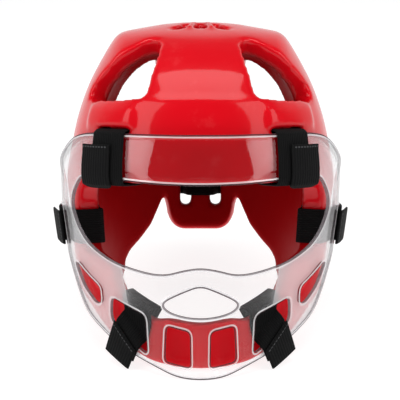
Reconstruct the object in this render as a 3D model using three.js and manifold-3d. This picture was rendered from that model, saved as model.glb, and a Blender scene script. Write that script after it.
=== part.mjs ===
// Taekwondo headgear: dipped foam helmet, clear face shield, seven black straps.
// Units are millimetres. It is designed in the head's frame (X to the viewer's right, Y to the
// back, Z up, origin between the ears) and then tipped back on to the floor that it rests on.
import * as THREE from "three";
import { mergeVertices } from "three/addons/utils/BufferGeometryUtils.js";
import Module from "manifold-3d";

const wasm = await Module();
wasm.setup();

// Driving dimensions
const roundness = 2.25; // exponent of the helmet's oval sections, 2 is an ellipse
const innerRoundness = 2.7;
const rimRound = 5; // rounding of the helmet's lower rim
const padHeight = 3; // how far the forehead pads stand out
const ribHeight = 2.2; // crown ribs between the slots
const ribWidth = 5;
const shieldWall = 2.3; // clear polycarbonate
const shieldCentre = -10; // y of the middle of the shield's oval sections
const strapThick = 1.8; // black webbing
const tabThick = 2.2; // hook-and-loop end
const browStrapTurn = 37.5;
const browStrapWidth = 33;
const browTabTurn = 42;
const browTabWidth = 31;
const browSlotLevel = 66;
const browSlotTall = 6;
const cheekStrapLevel = -17.5;
const cheekStrapWidth = 29;
const cheekTabLevel = -20.7;
const chinStrapTurn = 34; // the way its flat side faces
const chinStrapShift = -18; // how far its middle lies to the inside of that turn
const chinStrapLevel = -81;
const chinStrapWidth = 29;
const chinStrapLean = 29; // degrees from upright, seen square on
const rearStrapLevel = 11;
const rearStrapWidth = 30;
const rearSlotX = 14;
const rearSlotWide = 10;
const rearSlotLow = -13.4;
const rearSlotTop = 29;
const earY = 8;
const earLevel = 2;
const earWide = 30;
const earTall = 42;
const ventHub = { x: 0, y: 8, z: 30 }; // the vents are cut along rays from here

// Helmet sections from the jaw to the crown: reach to the front, side and back, height at the
// front, side and back, wall thickness at the front, side and back, and roof thickness.
const foamSections = [
  { front: 104, side: 94, back: 92, zf: -135, zs: -135, zb: -135, wf: 14, ws: 18, wb: 18, roof: 0 },
  { front: 107, side: 101, back: 98, zf: -95, zs: -95, zb: -95, wf: 14, ws: 20, wb: 18, roof: 0 },
  { front: 109, side: 107, back: 105, zf: -60, zs: -60, zb: -60, wf: 15, ws: 22, wb: 18, roof: 0 },
  { front: 110, side: 111, back: 112, zf: -28, zs: -28, zb: -28, wf: 17, ws: 22.5, wb: 18, roof: 0 },
  { front: 112, side: 113.5, back: 118, zf: 2, zs: 2, zb: 2, wf: 18, ws: 23, wb: 18, roof: 0 },
  { front: 115, side: 115.5, back: 122, zf: 26, zs: 22, zb: 26, wf: 19, ws: 23, wb: 18, roof: 0 },
  { front: 116, side: 112, back: 122, zf: 56, zs: 46, zb: 56, wf: 19, ws: 22, wb: 18, roof: 1 },
  { front: 110, side: 104, back: 117, zf: 92, zs: 80, zb: 88, wf: 18, ws: 20, wb: 18, roof: 4 },
  { front: 94, side: 90.5, back: 105, zf: 117, zs: 113, zb: 116, wf: 15, ws: 15, wb: 14, roof: 10 },
  { front: 66, side: 70, back: 80, zf: 138, zs: 142.5, zb: 138, wf: 9, ws: 9, wb: 9, roof: 15 },
  { front: 34, side: 40, back: 44, zf: 150, zs: 151.5, zb: 150, wf: 4, ws: 4, wb: 4, roof: 17.5 },
  { front: 12, side: 14, back: 16, zf: 154, zs: 154.4, zb: 153.8, wf: 1, ws: 1, wb: 1, roof: 18 },
];

// The helmet's lower rim, from the chin (0) round to the back panel (180).
const foamRim = [
  { turn: 0, z: -128.8 }, { turn: 12, z: -126.5 }, { turn: 23, z: -120 }, { turn: 36, z: -110 },
  { turn: 48, z: -100 }, { turn: 60, z: -87 }, { turn: 72, z: -79 }, { turn: 90, z: -79 },
  { turn: 108, z: -83 }, { turn: 120, z: -87 }, { turn: 126, z: -87.5 }, { turn: 129, z: -84 },
  { turn: 131.5, z: -74 }, { turn: 134.5, z: -62 }, { turn: 139, z: -54 }, { turn: 146.5, z: -44 },
  { turn: 153, z: -32 }, { turn: 157, z: -19 }, { turn: 160, z: -8 }, { turn: 161.5, z: -3.5 },
  { turn: 162.4, z: -5 }, { turn: 163, z: -20 }, { turn: 164.5, z: -29 }, { turn: 167, z: -34 },
  { turn: 170, z: -36 }, { turn: 180, z: -36 },
];

// The face opening of the helmet, right half, from the brow down to the chin bar.
const faceOpening = [
  { turn: 0, z: 22 }, { turn: 20, z: 22.3 }, { turn: 40, z: 22.6 }, { turn: 53, z: 22 },
  { turn: 58, z: 15 }, { turn: 61.2, z: 5 }, { turn: 62.4, z: -1 }, { turn: 62.3, z: -34 },
  { turn: 57, z: -38 }, { turn: 49, z: -40.5 }, { turn: 42.5, z: -46 }, { turn: 39.5, z: -57 },
  { turn: 35.5, z: -71.5 }, { turn: 28.5, z: -80.7 }, { turn: 21.5, z: -89.8 }, { turn: 15, z: -87.5 },
  { turn: 7, z: -90.5 }, { turn: 0, z: -92 },
];

// Vent outlines as directions from the vent hub: turn from the front (or the back), and rise.
const frontVent = [
  { turn: 55.8, rise: 27.4 }, { turn: 35.2, rise: 26.9 }, { turn: 22.1, rise: 27.2 },
  { turn: 21.7, rise: 39 }, { turn: 21.9, rise: 45 }, { turn: 24.1, rise: 52.3 },
  { turn: 26.8, rise: 54.3 }, { turn: 29.9, rise: 54.7 }, { turn: 33.6, rise: 53.8 },
  { turn: 42.2, rise: 48.2 }, { turn: 48, rise: 44.1 }, { turn: 54.4, rise: 39.1 },
  { turn: 59.4, rise: 33.7 }, { turn: 60, rise: 30 },
];
const rearVent = [
  { turn: 62, rise: 22 }, { turn: 40, rise: 24 }, { turn: 18, rise: 25 },
  { turn: 22, rise: 36 }, { turn: 29, rise: 47 }, { turn: 33.5, rise: 52.5 },
  { turn: 40, rise: 50.5 }, { turn: 48, rise: 45 }, { turn: 55, rise: 38 },
  { turn: 60, rise: 30 },
];

// Crown slots of one fan, seen from above (the fan at the back is its mirror image).
const crownSlots = [
  { x1: -26.5, y1: -41.5, x2: -12.5, y2: -36.5, x3: -7.8, y3: -19, x4: -13, y4: -20 },
  { x1: -6.3, y1: -37.5, x2: 6.3, y2: -37.5, x3: 3.6, y3: -18.5, x4: -3.6, y4: -18.5 },
  { x1: 12.5, y1: -36.5, x2: 26.5, y2: -41.5, x3: 13, y3: -20, x4: 7.8, y4: -19 },
];
const crownRibs = [
  { x1: -9.8, y1: -41, x2: -5.4, y2: -16 },
  { x1: 9.8, y1: -41, x2: 5.4, y2: -16 },
];

// Raised forehead pads, as turn and height.
const foreheadPad = { near: 26, far: 56, low: 65, high: 86, root: 5 };

// Shield sections: half width and reach to the front by height.
const shieldSections = [
  { z: -140, side: 92, front: 117 }, { z: -120, side: 98, front: 118 },
  { z: -88, side: 106, front: 119 }, { z: -50, side: 113, front: 120 },
  { z: 0, side: 120, front: 122 }, { z: 36, side: 121, front: 123 },
  { z: 47, side: 118.6, front: 123 }, { z: 66, side: 114, front: 122 },
];

// The shield's lower and upper edge, from the middle round to the rear end.
const shieldEdge = [
  { turn: 0, low: -135, high: 62.5 }, { turn: 12, low: -133, high: 62.5 },
  { turn: 23, low: -124.5, high: 62.8 }, { turn: 36, low: -115, high: 63 },
  { turn: 48, low: -104.5, high: 63 }, { turn: 54, low: -98, high: 62 },
  { turn: 62, low: -90, high: 59.3 }, { turn: 68, low: -78, high: 55 },
  { turn: 74, low: -60, high: 48.8 }, { turn: 78, low: -49, high: 44.5 },
  { turn: 83, low: -41, high: 39.5 }, { turn: 90, low: -35, high: 32 },
  { turn: 95, low: -28, high: 25 }, { turn: 98, low: -17, high: 16 },
  { turn: 99.5, low: -6, high: 6 },
];

// Openings of the shield as outlines of turn and height.
const eyePort = [
  { turn: 0, z: 21 }, { turn: 16, z: 22 }, { turn: 31, z: 24.4 }, { turn: 45, z: 26.2 },
  { turn: 54, z: 26.5 }, { turn: 58, z: 20 }, { turn: 61.5, z: 12 }, { turn: 63, z: 5 },
  { turn: 62.8, z: -3 }, { turn: 60, z: -14.6 }, { turn: 56.5, z: -22.6 }, { turn: 52, z: -29.8 },
  { turn: 45, z: -36.8 }, { turn: 37.5, z: -42.9 }, { turn: 28.5, z: -47.3 }, { turn: 20, z: -50.5 },
  { turn: 13.7, z: -50.6 }, { turn: 7, z: -46.8 }, { turn: 0, z: -44.6 },
];
const breathHole = [
  { turn: 0, z: -58.2 }, { turn: 7.5, z: -64 }, { turn: 14.1, z: -69.9 }, { turn: 16.4, z: -73.5 },
  { turn: 16, z: -77.5 }, { turn: 13, z: -81.5 }, { turn: 7, z: -84.6 }, { turn: 0, z: -85.8 },
];
const chinWindow = [
  { turn: 4.4, z: -95.7 }, { turn: 15.4, z: -91 }, { turn: 17.5, z: -121.4 }, { turn: 4.4, z: -126.3 },
];
const jawWindow = [
  { turn: 24.4, z: -83.9 }, { turn: 40.4, z: -71.8 }, { turn: 42.4, z: -73.8 },
  { turn: 44, z: -90 }, { turn: 41.4, z: -95.5 }, { turn: 25.4, z: -117 },
];
const cheekWindow = [
  { turn: 48, z: -64.5 }, { turn: 63, z: -48.5 }, { turn: 66, z: -46.6 }, { turn: 68.2, z: -49 },
  { turn: 62.2, z: -66.6 }, { turn: 53.3, z: -79.1 }, { turn: 49, z: -78.5 },
];
const sideSlot = { near: 77, wide: 5.5, low: -35, high: -1 }; // the cheek strap comes out here

// Strap routes: "on" is the surface followed and "off" the distance from it to the strap's middle.
const browRoute = [
  { z: 19.4, on: "shieldOut", off: 0 }, { z: 24, on: "shieldOut", off: 2.2 },
  { z: 40, on: "shieldOut", off: 1.8 }, { z: 56, on: "shieldOut", off: 1.8 },
  { z: 64.2, on: "shieldOut", off: 1.7 }, { z: 66.3, on: "foamOut", off: 2.5 },
  { z: 66.3, on: "foamOut", off: -6 }, { z: 66.3, on: "foamIn", off: 3 },
  { z: 65.1, on: "foamIn", off: -2.6 }, { z: 58, on: "foamIn", off: -2.2 },
  { z: 40, on: "foamIn", off: -2 }, { z: 24, on: "foamIn", off: -2.5 },
  { z: 19.8, on: "foamIn", off: -2.2 }, { z: 19.2, on: "foamIn", off: 4 },
];
const browTabRoute = [
  { z: 54, on: "shieldOut", off: 5.6 }, { z: 48, on: "shieldOut", off: 4.7 },
  { z: 36, on: "shieldOut", off: 4.7 }, { z: 26, on: "shieldOut", off: 4.9 },
  { z: 19.5, on: "shieldOut", off: 4 }, { z: 16.6, on: "shieldOut", off: -1 },
];
const cheekRoute = [
  { turn: 82, on: "foamIn", off: -1.8 }, { turn: 76, on: "foamIn", off: -1.8 },
  { turn: 70, on: "foamIn", off: -1.8 }, { turn: 64.5, on: "foamIn", off: -2 },
  { turn: 61.2, on: "foamIn", off: -2.2 }, { turn: 60.2, on: "foamIn", off: 2 },
  { turn: 60.6, on: "foamIn", off: 10 }, { turn: 60.8, on: "foamOut", off: -6 },
  { turn: 60.9, on: "foamOut", off: 1.4 }, { turn: 65, on: "foamOut", off: 1.8 },
  { turn: sideSlot.near - 7, on: "foamOut", off: 1.7 },
  { turn: sideSlot.near - 3.5, on: "foamOut", off: 1.7 },
  { turn: sideSlot.near - 0.5, on: "shieldOut", off: 1.7 },
  { turn: sideSlot.near + 3, on: "shieldOut", off: 2.2 },
  { turn: sideSlot.near + 9, on: "shieldOut", off: 2.4 },
  { turn: sideSlot.near + 15, on: "shieldOut", off: 3.4 },
];
const cheekTabRoute = [
  { turn: sideSlot.near - 2.5, on: "shieldOut", off: 3.1 },
  { turn: sideSlot.near + 3, on: "shieldOut", off: 4.9 },
  { turn: sideSlot.near + 9, on: "shieldOut", off: 6.8 },
  { turn: sideSlot.near + 17, on: "shieldOut", off: 11.5 },
];
const chinRoute = [
  { q: -20, on: "foamIn", off: -1.8 }, { q: -8, on: "foamIn", off: -1.8 },
  { q: 1.5, on: "foamIn", off: -2 }, { q: 3.8, on: "foamIn", off: 2 },
  { q: 3.8, on: "foamOut", off: -2 }, { q: 0.5, on: "foamOut", off: 1.9 },
  { q: -6, on: "foamOut", off: 1.8 }, { q: -14, on: "foamOut", off: 2.2, skew: 0.4 },
  { q: -18, on: "shieldOut", off: -1.2, skew: 0.4 }, { q: -22.5, on: "shieldOut", off: 1.8, skew: 0.4 },
  { q: -31, on: "shieldOut", off: 1.8, skew: 0.3 }, { q: -40, on: "shieldOut", off: 1.8 },
];
const chinTabRoute = [
  { q: -24, on: "shieldOut", off: 5, skew: 0.4 }, { q: -31, on: "shieldOut", off: 4.7, skew: 0.3 },
  { q: -39, on: "shieldOut", off: 4.8 }, { q: -47, on: "shieldOut", off: 5 },
];
const rearEnd = 120; // turn at which the rear strap ends
const rearRoute = [
  ...run("foamOut", 2, rearEnd, 168, 9),
  { turn: 171, on: "foamOut", off: 2 }, { turn: 172.2, on: "foamOut", off: 0.2 },
  { turn: 172.7, on: "foamOut", off: -8 }, { turn: 173.4, on: "foamIn", off: 0.2 },
  { turn: 175, on: "foamIn", off: -2.1 }, { turn: 180, on: "foamIn", off: -2 },
];

// Rows of a route that keeps to one surface, every few degrees.
function run(on, off, from, to, step) {
  const count = Math.max(1, Math.round((to - from) / step));
  return Array.from({ length: count + 1 }, (_, i) => ({
    turn: from + ((to - from) * i) / count,
    on,
    off,
  }));
}

const rad = Math.PI / 180;

// Straight-line reading of a table column.
function read(rows, key, at, column) {
  const last = rows.length - 1;
  if (at <= rows[0][key]) return rows[0][column];
  if (at >= rows[last][key]) return rows[last][column];
  const i = rows.findIndex((r) => r[key] > at) - 1;
  const f = (at - rows[i][key]) / (rows[i + 1][key] - rows[i][key]);
  return rows[i][column] * (1 - f) + rows[i + 1][column] * f;
}

// Smooth reading of a helmet section column at a fractional row.
function readFoam(at, column) {
  const last = foamSections.length - 1;
  const i = Math.min(Math.max(Math.floor(at), 0), last - 1);
  const f = at - i;
  const v = [i - 1, i, i + 1, i + 2].map(
    (n) => foamSections[Math.min(Math.max(n, 0), last)][column],
  );
  return (
    0.5 *
    (2 * v[1] +
      (v[2] - v[0]) * f +
      (2 * v[0] - 5 * v[1] + 4 * v[2] - v[3]) * f * f +
      (3 * v[1] - v[0] - 3 * v[2] + v[3]) * f * f * f)
  );
}

// A point of the helmet's outer or inner surface: row, turn from the front in radians.
function foamPoint(row, turn, inner) {
  const s = Math.sin(turn);
  const c = Math.cos(turn);
  const ahead = c >= 0;
  let side = readFoam(row, "side");
  let reach = readFoam(row, ahead ? "front" : "back");
  let z = readFoam(row, "zs");
  z += (readFoam(row, ahead ? "zf" : "zb") - z) * c * c;
  if (inner) {
    side -= readFoam(row, "ws");
    reach -= readFoam(row, ahead ? "wf" : "wb");
    z -= readFoam(row, "roof");
  }
  const power = inner ? innerRoundness : roundness;
  const r = (Math.abs(s / side) ** power + Math.abs(c / reach) ** power) ** (-1 / power);
  return new THREE.Vector3(r * s, -r * c, z);
}

// The value between low and high at which rising(value) reaches the target.
function solve(rising, target, low, high) {
  for (let i = 0; i < 40; i++) {
    const mid = (low + high) / 2;
    if (rising(mid) < target) low = mid;
    else high = mid;
  }
  return (low + high) / 2;
}

const topRow = foamSections.length - 1;
const foamRowAt = (turn, z, inner) => solve((row) => foamPoint(row, turn, inner).z, z, 0, topRow);
function foamRadius(turn, z, inner) {
  const p = foamPoint(foamRowAt(turn, z, inner), turn, inner);
  return Math.hypot(p.x, p.y);
}

// Shield point from its oval's own angle, moved out along the oval's normal.
function shieldPoint(angle, z, off) {
  const side = read(shieldSections, "z", z, "side");
  const reach = read(shieldSections, "z", z, "front") + shieldCentre;
  const normal = new THREE.Vector3(Math.sin(angle) / side, -Math.cos(angle) / reach, 0).normalize();
  return new THREE.Vector3(
    side * Math.sin(angle),
    shieldCentre - reach * Math.cos(angle),
    z,
  ).addScaledVector(normal, off);
}
function shieldRadius(turn, z) {
  const side = read(shieldSections, "z", z, "side");
  const reach = read(shieldSections, "z", z, "front") + shieldCentre;
  const s = Math.sin(turn) / side;
  const c = Math.cos(turn) / reach;
  const a = s * s + c * c;
  const b = (2 * Math.cos(turn) * shieldCentre) / reach ** 2;
  const d = (shieldCentre / reach) ** 2 - 1;
  return (-b + Math.sqrt(b * b - 4 * a * d)) / (2 * a);
}
const surfaces = {
  foamOut: (turn, z) => foamRadius(turn, z, false),
  foamIn: (turn, z) => foamRadius(turn, z, true),
  shieldOut: (turn, z) => shieldRadius(turn, z),
};

// Closed body from triangles; turned the right way out if its volume is negative.
function solidOf(points, faces) {
  const flat = (list) =>
    new wasm.Manifold(
      new wasm.Mesh({
        numProp: 3,
        vertProperties: new Float32Array(points.flatMap((p) => [p.x, p.y, p.z])),
        triVerts: new Uint32Array(list.flat()),
      }),
    );
  const body = flat(faces);
  return body.volume() > 0 ? body : flat(faces.map(([a, b, c]) => [a, c, b]));
}
function solidFrom(geometry) {
  const bare = geometry.clone();
  bare.deleteAttribute("normal");
  bare.deleteAttribute("uv");
  const merged = mergeVertices(bare, 1e-4);
  const position = merged.getAttribute("position");
  const points = [];
  for (let i = 0; i < position.count; i++)
    points.push(new THREE.Vector3().fromBufferAttribute(position, i));
  const faces = [];
  for (let i = 0; i < merged.index.count; i += 3)
    faces.push([0, 1, 2].map((n) => merged.index.getX(i + n)));
  return solidOf(points, faces);
}

// Rings of equal count joined one to the next, with a point at each end.
function ringSolid(rings, first, last) {
  const count = rings[0].length;
  const points = rings.flat();
  const faces = [];
  for (let i = 0; i + 1 < rings.length; i++)
    for (let j = 0; j < count; j++) {
      const a = i * count + j;
      const b = i * count + ((j + 1) % count);
      faces.push([a, b, b + count], [a, b + count, a + count]);
    }
  const start = points.push(first) - 1;
  const end = points.push(last) - 1;
  const tail = (rings.length - 1) * count;
  for (let j = 0; j < count; j++) {
    const k = (j + 1) % count;
    faces.push([start, k, j], [end, tail + j, tail + k]);
  }
  return solidOf(points, faces);
}

// A sheet with two faces given as grids; "loop" joins its last row to its first.
function sheetSolid(outer, inner, loop = false) {
  const rows = outer.length;
  const across = outer[0].length;
  const points = [...outer.flat(), ...inner.flat()];
  const faces = [];
  const out = (i, j) => (i % rows) * across + j;
  const inn = (i, j) => rows * across + out(i, j);
  const quad = (a, b, c, d) => faces.push([a, b, c], [a, c, d]);
  for (let i = 0; i < (loop ? rows : rows - 1); i++) {
    for (let j = 0; j + 1 < across; j++) {
      quad(out(i, j), out(i, j + 1), out(i + 1, j + 1), out(i + 1, j));
      quad(inn(i + 1, j), inn(i + 1, j + 1), inn(i, j + 1), inn(i, j));
    }
    quad(out(i, 0), out(i + 1, 0), inn(i + 1, 0), inn(i, 0));
    const e = across - 1;
    quad(out(i + 1, e), out(i, e), inn(i, e), inn(i + 1, e));
  }
  if (!loop)
    for (let j = 0; j + 1 < across; j++) {
      const e = rows - 1;
      quad(out(0, j + 1), out(0, j), inn(0, j), inn(0, j + 1));
      quad(out(e, j), out(e, j + 1), inn(e, j + 1), inn(e, j));
    }
  return solidOf(points, faces);
}

// A closed outline given on sheets one behind the other, joined as one tapered plug. The flat
// copy of the outline is what its two end caps are divided up by.
function plug(sheets, flat) {
  const count = flat.length;
  const contour = flat.map(([a, b]) => new THREE.Vector2(a, b));
  const clockwise = THREE.ShapeUtils.isClockWise(contour);
  const faces = [];
  const end = (sheets.length - 1) * count;
  for (const [a, b, c] of THREE.ShapeUtils.triangulateShape(contour, []))
    faces.push([a, c, b], [a + end, b + end, c + end]);
  for (let low = 0; low < end; low += count)
    for (let i = 0; i < count; i++) {
      const a = low + i;
      const b = low + ((i + 1) % count);
      if (clockwise) faces.push([a, a + count, b + count], [a, b + count, b]);
      else faces.push([a, b, b + count], [a, b + count, a + count]);
    }
  return solidOf(sheets.flat(), faces);
}

const mirrored = (rows) =>
  rows
    .slice()
    .reverse()
    .filter((r) => r.turn !== 0)
    .map((r) => ({ ...r, turn: -r.turn }));
const flipped = (rows) => rows.map((r) => ({ ...r, turn: -r.turn }));

// Wide opening at the front: each rim point is carried along its ray from the axis at y = middle.
function frontWedge(rim, middle, near, far) {
  const at = (p, y) => {
    const f = (y - middle) / (p.y - middle);
    return new THREE.Vector3(p.x * f, y, p.z);
  };
  const inside = rim.map((p) => new THREE.Vector3(p.x * 0.8, middle + (p.y - middle) * 0.8, p.z));
  return plug(
    [rim.map((p) => at(p, near)), inside, rim, rim.map((p) => at(p, far))],
    rim.map((p) => [at(p, far).x, p.z]),
  );
}

// Vent cut along rays from the hub; face is 1 for the front and -1 for the back.
function vent(rows, hand, face) {
  const hub = new THREE.Vector3(ventHub.x, ventHub.y, ventHub.z);
  const at = (row, length) => {
    const turn = row.turn * rad;
    const rise = row.rise * rad;
    return new THREE.Vector3(
      hand * Math.sin(turn) * Math.cos(rise),
      -face * Math.cos(turn) * Math.cos(rise),
      Math.sin(rise),
    )
      .multiplyScalar(length)
      .add(hub);
  };
  return plug(
    [60, 90, 120, 190].map((length) => rows.map((r) => at(r, length))),
    rows.map((r) => [r.turn * hand * face, r.rise]),
  );
}

// The foam helmet
const rimTurns = [];
for (let t = 0; t <= 180; t += 7.5) rimTurns.push(t);
for (const row of foamRim) if (row.turn > 126 && row.turn < 171) rimTurns.push(row.turn);
const halfTurns = [...new Set(rimTurns)]
  .sort((a, b) => a - b)
  .filter((t, i, all) => i === 0 || t - all[i - 1] > 0.9);
const turns = [
  ...halfTurns,
  ...halfTurns
    .slice(1, -1)
    .reverse()
    .map((t) => -t),
];
const rowsUp = 9;
const rimZ = (t) => read(foamRim, "turn", Math.abs(t), "z");
const upTo = (t, i, inner) => {
  const low = foamRowAt(t * rad, rimZ(t) + rimRound, inner);
  return foamPoint(low + ((topRow - low) * i) / rowsUp, t * rad, inner);
};
const rimPoint = (t, share, drop) => {
  const z = rimZ(t) + drop;
  const out = foamRadius(t * rad, z, false);
  const r = out + (foamRadius(t * rad, z, true) - out) * share;
  return new THREE.Vector3(r * Math.sin(t * rad), -r * Math.cos(t * rad), z);
};
const helmetRings = [];
for (let i = rowsUp; i >= 0; i--) helmetRings.push(turns.map((t) => upTo(t, i, true)));
helmetRings.push(turns.map((t) => rimPoint(t, 0.88, rimRound * 0.3)));
helmetRings.push(turns.map((t) => rimPoint(t, 0.68, 0)));
helmetRings.push(turns.map((t) => rimPoint(t, 0.32, 0)));
helmetRings.push(turns.map((t) => rimPoint(t, 0.12, rimRound * 0.3)));
for (let i = 0; i <= rowsUp; i++) helmetRings.push(turns.map((t) => upTo(t, i, false)));
const crown = foamSections[topRow];
let helmet = ringSolid(
  helmetRings,
  new THREE.Vector3(0, 2, crown.zs - crown.roof + 0.2),
  new THREE.Vector3(0, 2, crown.zs + 0.2),
);

// Forehead pads: a patch of the outer surface lifted by the pad's height.
function padSolid(hand) {
  const { near, far, low, high, root } = foreheadPad;
  const steps = 6;
  const grid = (lift) => {
    const rows = [];
    for (let i = 0; i <= steps; i++) {
      const row = [];
      for (let j = 0; j <= steps; j++) {
        const u = i / steps;
        const v = j / steps;
        const edge = Math.min(u, 1 - u, v, 1 - v) > 0 ? 1 : 0;
        const turn = hand * (near + (far - near) * u) * rad;
        const z = low + (high - low) * v;
        const r = foamRadius(turn, z, false) + (lift > 0 && !edge ? lift / 4 : lift);
        row.push(new THREE.Vector3(r * Math.sin(turn), -r * Math.cos(turn), z));
      }
      rows.push(row);
    }
    return rows;
  };
  return sheetSolid(grid(padHeight), grid(-root));
}
for (const hand of [1, -1]) helmet = helmet.add(padSolid(hand));

// Crown ribs and slots
const crownZ = (x, y) => {
  const turn = Math.atan2(x, -y);
  const row = solve(
    (k) => -Math.hypot(foamPoint(k, turn, false).x, foamPoint(k, turn, false).y),
    -Math.hypot(x, y),
    6,
    topRow,
  );
  return foamPoint(row, turn, false).z;
};
function ribSolid({ x1, y1, x2, y2 }, back) {
  const steps = 5;
  const along = new THREE.Vector2(x2 - x1, y2 - y1);
  const across = new THREE.Vector2(-along.y, along.x).normalize().multiplyScalar(ribWidth / 2);
  const grid = (lift) => {
    const rows = [];
    for (let i = 0; i <= steps; i++) {
      const f = i / steps;
      rows.push(
        [-1, -0.5, 0.5, 1].map((s) => {
          const x = x1 + along.x * f + across.x * s;
          const y = back * (y1 + along.y * f + across.y * s);
          const low = Math.abs(s) === 1 || i === 0 || i === steps;
          return new THREE.Vector3(x, y, crownZ(x, y) + (lift > 0 && low ? lift * 0.3 : lift));
        }),
      );
    }
    return rows;
  };
  return sheetSolid(grid(ribHeight), grid(-4));
}
function slotSolid(s, back) {
  const shape = new THREE.Shape([
    new THREE.Vector2(s.x1, s.y1 * back),
    new THREE.Vector2(s.x2, s.y2 * back),
    new THREE.Vector2(s.x3, s.y3 * back),
    new THREE.Vector2(s.x4, s.y4 * back),
  ]);
  const geometry = new THREE.ExtrudeGeometry(shape, { depth: 80, bevelEnabled: false });
  return solidFrom(geometry.translate(0, 0, crown.zs - 60));
}
for (const back of [1, -1]) {
  for (const rib of crownRibs) helmet = helmet.add(ribSolid(rib, back));
  for (const slot of crownSlots) helmet = helmet.subtract(slotSolid(slot, back));
}

// Face opening, vents, ear openings, back-panel slots and brow-strap slots
const foamRimPoints = [...faceOpening, ...mirrored(faceOpening)].map(({ turn, z }) => {
  const r = foamRadius(turn * rad, z, false);
  return new THREE.Vector3(r * Math.sin(turn * rad), -r * Math.cos(turn * rad), z);
});
helmet = helmet.subtract(frontWedge(foamRimPoints, 0, -15, -240));
for (const hand of [1, -1]) {
  helmet = helmet.subtract(vent(frontVent, hand, 1)).subtract(vent(rearVent, hand, -1));
  const ear = new THREE.CylinderGeometry(0.5, 0.5, 90, 20).rotateZ(Math.PI / 2);
  helmet = helmet.subtract(
    solidFrom(ear.scale(1, earWide, earTall).translate(hand * 95, earY, earLevel)),
  );
  const rear = new THREE.BoxGeometry(rearSlotWide, 80, rearSlotTop - rearSlotLow);
  helmet = helmet.subtract(
    solidFrom(rear.translate(hand * rearSlotX, 110, (rearSlotTop + rearSlotLow) / 2)),
  );
  const brow = new THREE.BoxGeometry(browStrapWidth + 3, 70, browSlotTall);
  brow.translate(0, -105, browSlotLevel).rotateZ(hand * browStrapTurn * rad);
  helmet = helmet.subtract(solidFrom(brow));
}

// The clear shield
const shieldTurns = [];
for (let t = 0; t <= 95; t += 5) shieldTurns.push(t);
shieldTurns.push(98, 99.5);
const shieldColumns = [
  ...shieldTurns
    .slice(1)
    .reverse()
    .map((t) => -t),
  ...shieldTurns,
];
const shieldRows = 8;
const shieldGrid = (off) =>
  shieldColumns.map((t) => {
    const low = read(shieldEdge, "turn", Math.abs(t), "low");
    const high = read(shieldEdge, "turn", Math.abs(t), "high");
    const column = [];
    for (let j = 0; j <= shieldRows; j++)
      column.push(shieldPoint(t * rad, low + ((high - low) * j) / shieldRows, off));
    return column;
  });
let shield = sheetSolid(shieldGrid(0), shieldGrid(-shieldWall));
const portRim = [...eyePort, ...mirrored(eyePort)].map((r) => shieldPoint(r.turn * rad, r.z, 0));
shield = shield.subtract(frontWedge(portRim, shieldCentre, shieldCentre - 10, -260));
const holeRim = [...breathHole, ...mirrored(breathHole)].map((r) =>
  shieldPoint(r.turn * rad, r.z, 0),
);
shield = shield.subtract(frontWedge(holeRim, shieldCentre, -60, -200));
function windowPlug(rows) {
  return plug(
    [-14, 0, 14].map((off) => rows.map((r) => shieldPoint(r.turn * rad, r.z, off))),
    rows.map((r) => [r.turn, r.z]),
  );
}
const slotFar = sideSlot.near + sideSlot.wide;
const slotRows = [
  { turn: sideSlot.near, z: sideSlot.low }, { turn: slotFar, z: sideSlot.low },
  { turn: slotFar, z: sideSlot.high }, { turn: sideSlot.near, z: sideSlot.high },
];
for (const rows of [chinWindow, jawWindow, cheekWindow, slotRows])
  shield = shield.subtract(windowPlug(rows)).subtract(windowPlug(flipped(rows)));

// Straps: the route is read once per station across the strap's width, then given thickness.
function rounded(path, loop) {
  const cut = [];
  const count = path.length;
  const share = 0.3;
  if (!loop) cut.push(path[0]);
  for (let i = 0; i < (loop ? count : count - 1); i++) {
    const a = path[i];
    const b = path[(i + 1) % count];
    if (loop || i > 0) cut.push(a.clone().lerp(b, share));
    if (loop || i < count - 2) cut.push(b.clone().lerp(a, share));
  }
  if (!loop) cut.push(path[count - 1]);
  return cut;
}
function thicken(path, loop, half) {
  const count = path.length;
  const sides = [[], []];
  for (let i = 0; i < count; i++) {
    const before = path[loop ? (i + count - 1) % count : Math.max(i - 1, 0)];
    const after = path[loop ? (i + 1) % count : Math.min(i + 1, count - 1)];
    const a = path[i].clone().sub(before);
    const b = after.clone().sub(path[i]);
    if (a.length() < 1e-6) a.copy(b);
    if (b.length() < 1e-6) b.copy(a);
    a.normalize();
    b.normalize();
    const mean = new THREE.Vector2(-a.y - b.y, a.x + b.x).normalize();
    const miter = half / Math.max(0.6, mean.dot(new THREE.Vector2(-a.y, a.x)));
    sides[0].push(path[i].clone().addScaledVector(mean, miter));
    sides[1].push(path[i].clone().addScaledVector(mean, -miter));
  }
  return sides;
}
function strap(stations, loop, thick, place) {
  const grids = [[], []];
  stations.forEach((path, s) => {
    const sides = thicken(rounded(path, loop), loop, thick / 2);
    sides.forEach((side, g) =>
      side.forEach((p, i) => {
        grids[g][i] ??= [];
        grids[g][i].push(place(p, s));
      }),
    );
  });
  return sheetSolid(grids[0], grids[1], loop);
}
const spread = (width) => [-0.5, 0, 0.5].map((f) => f * width);

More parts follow.
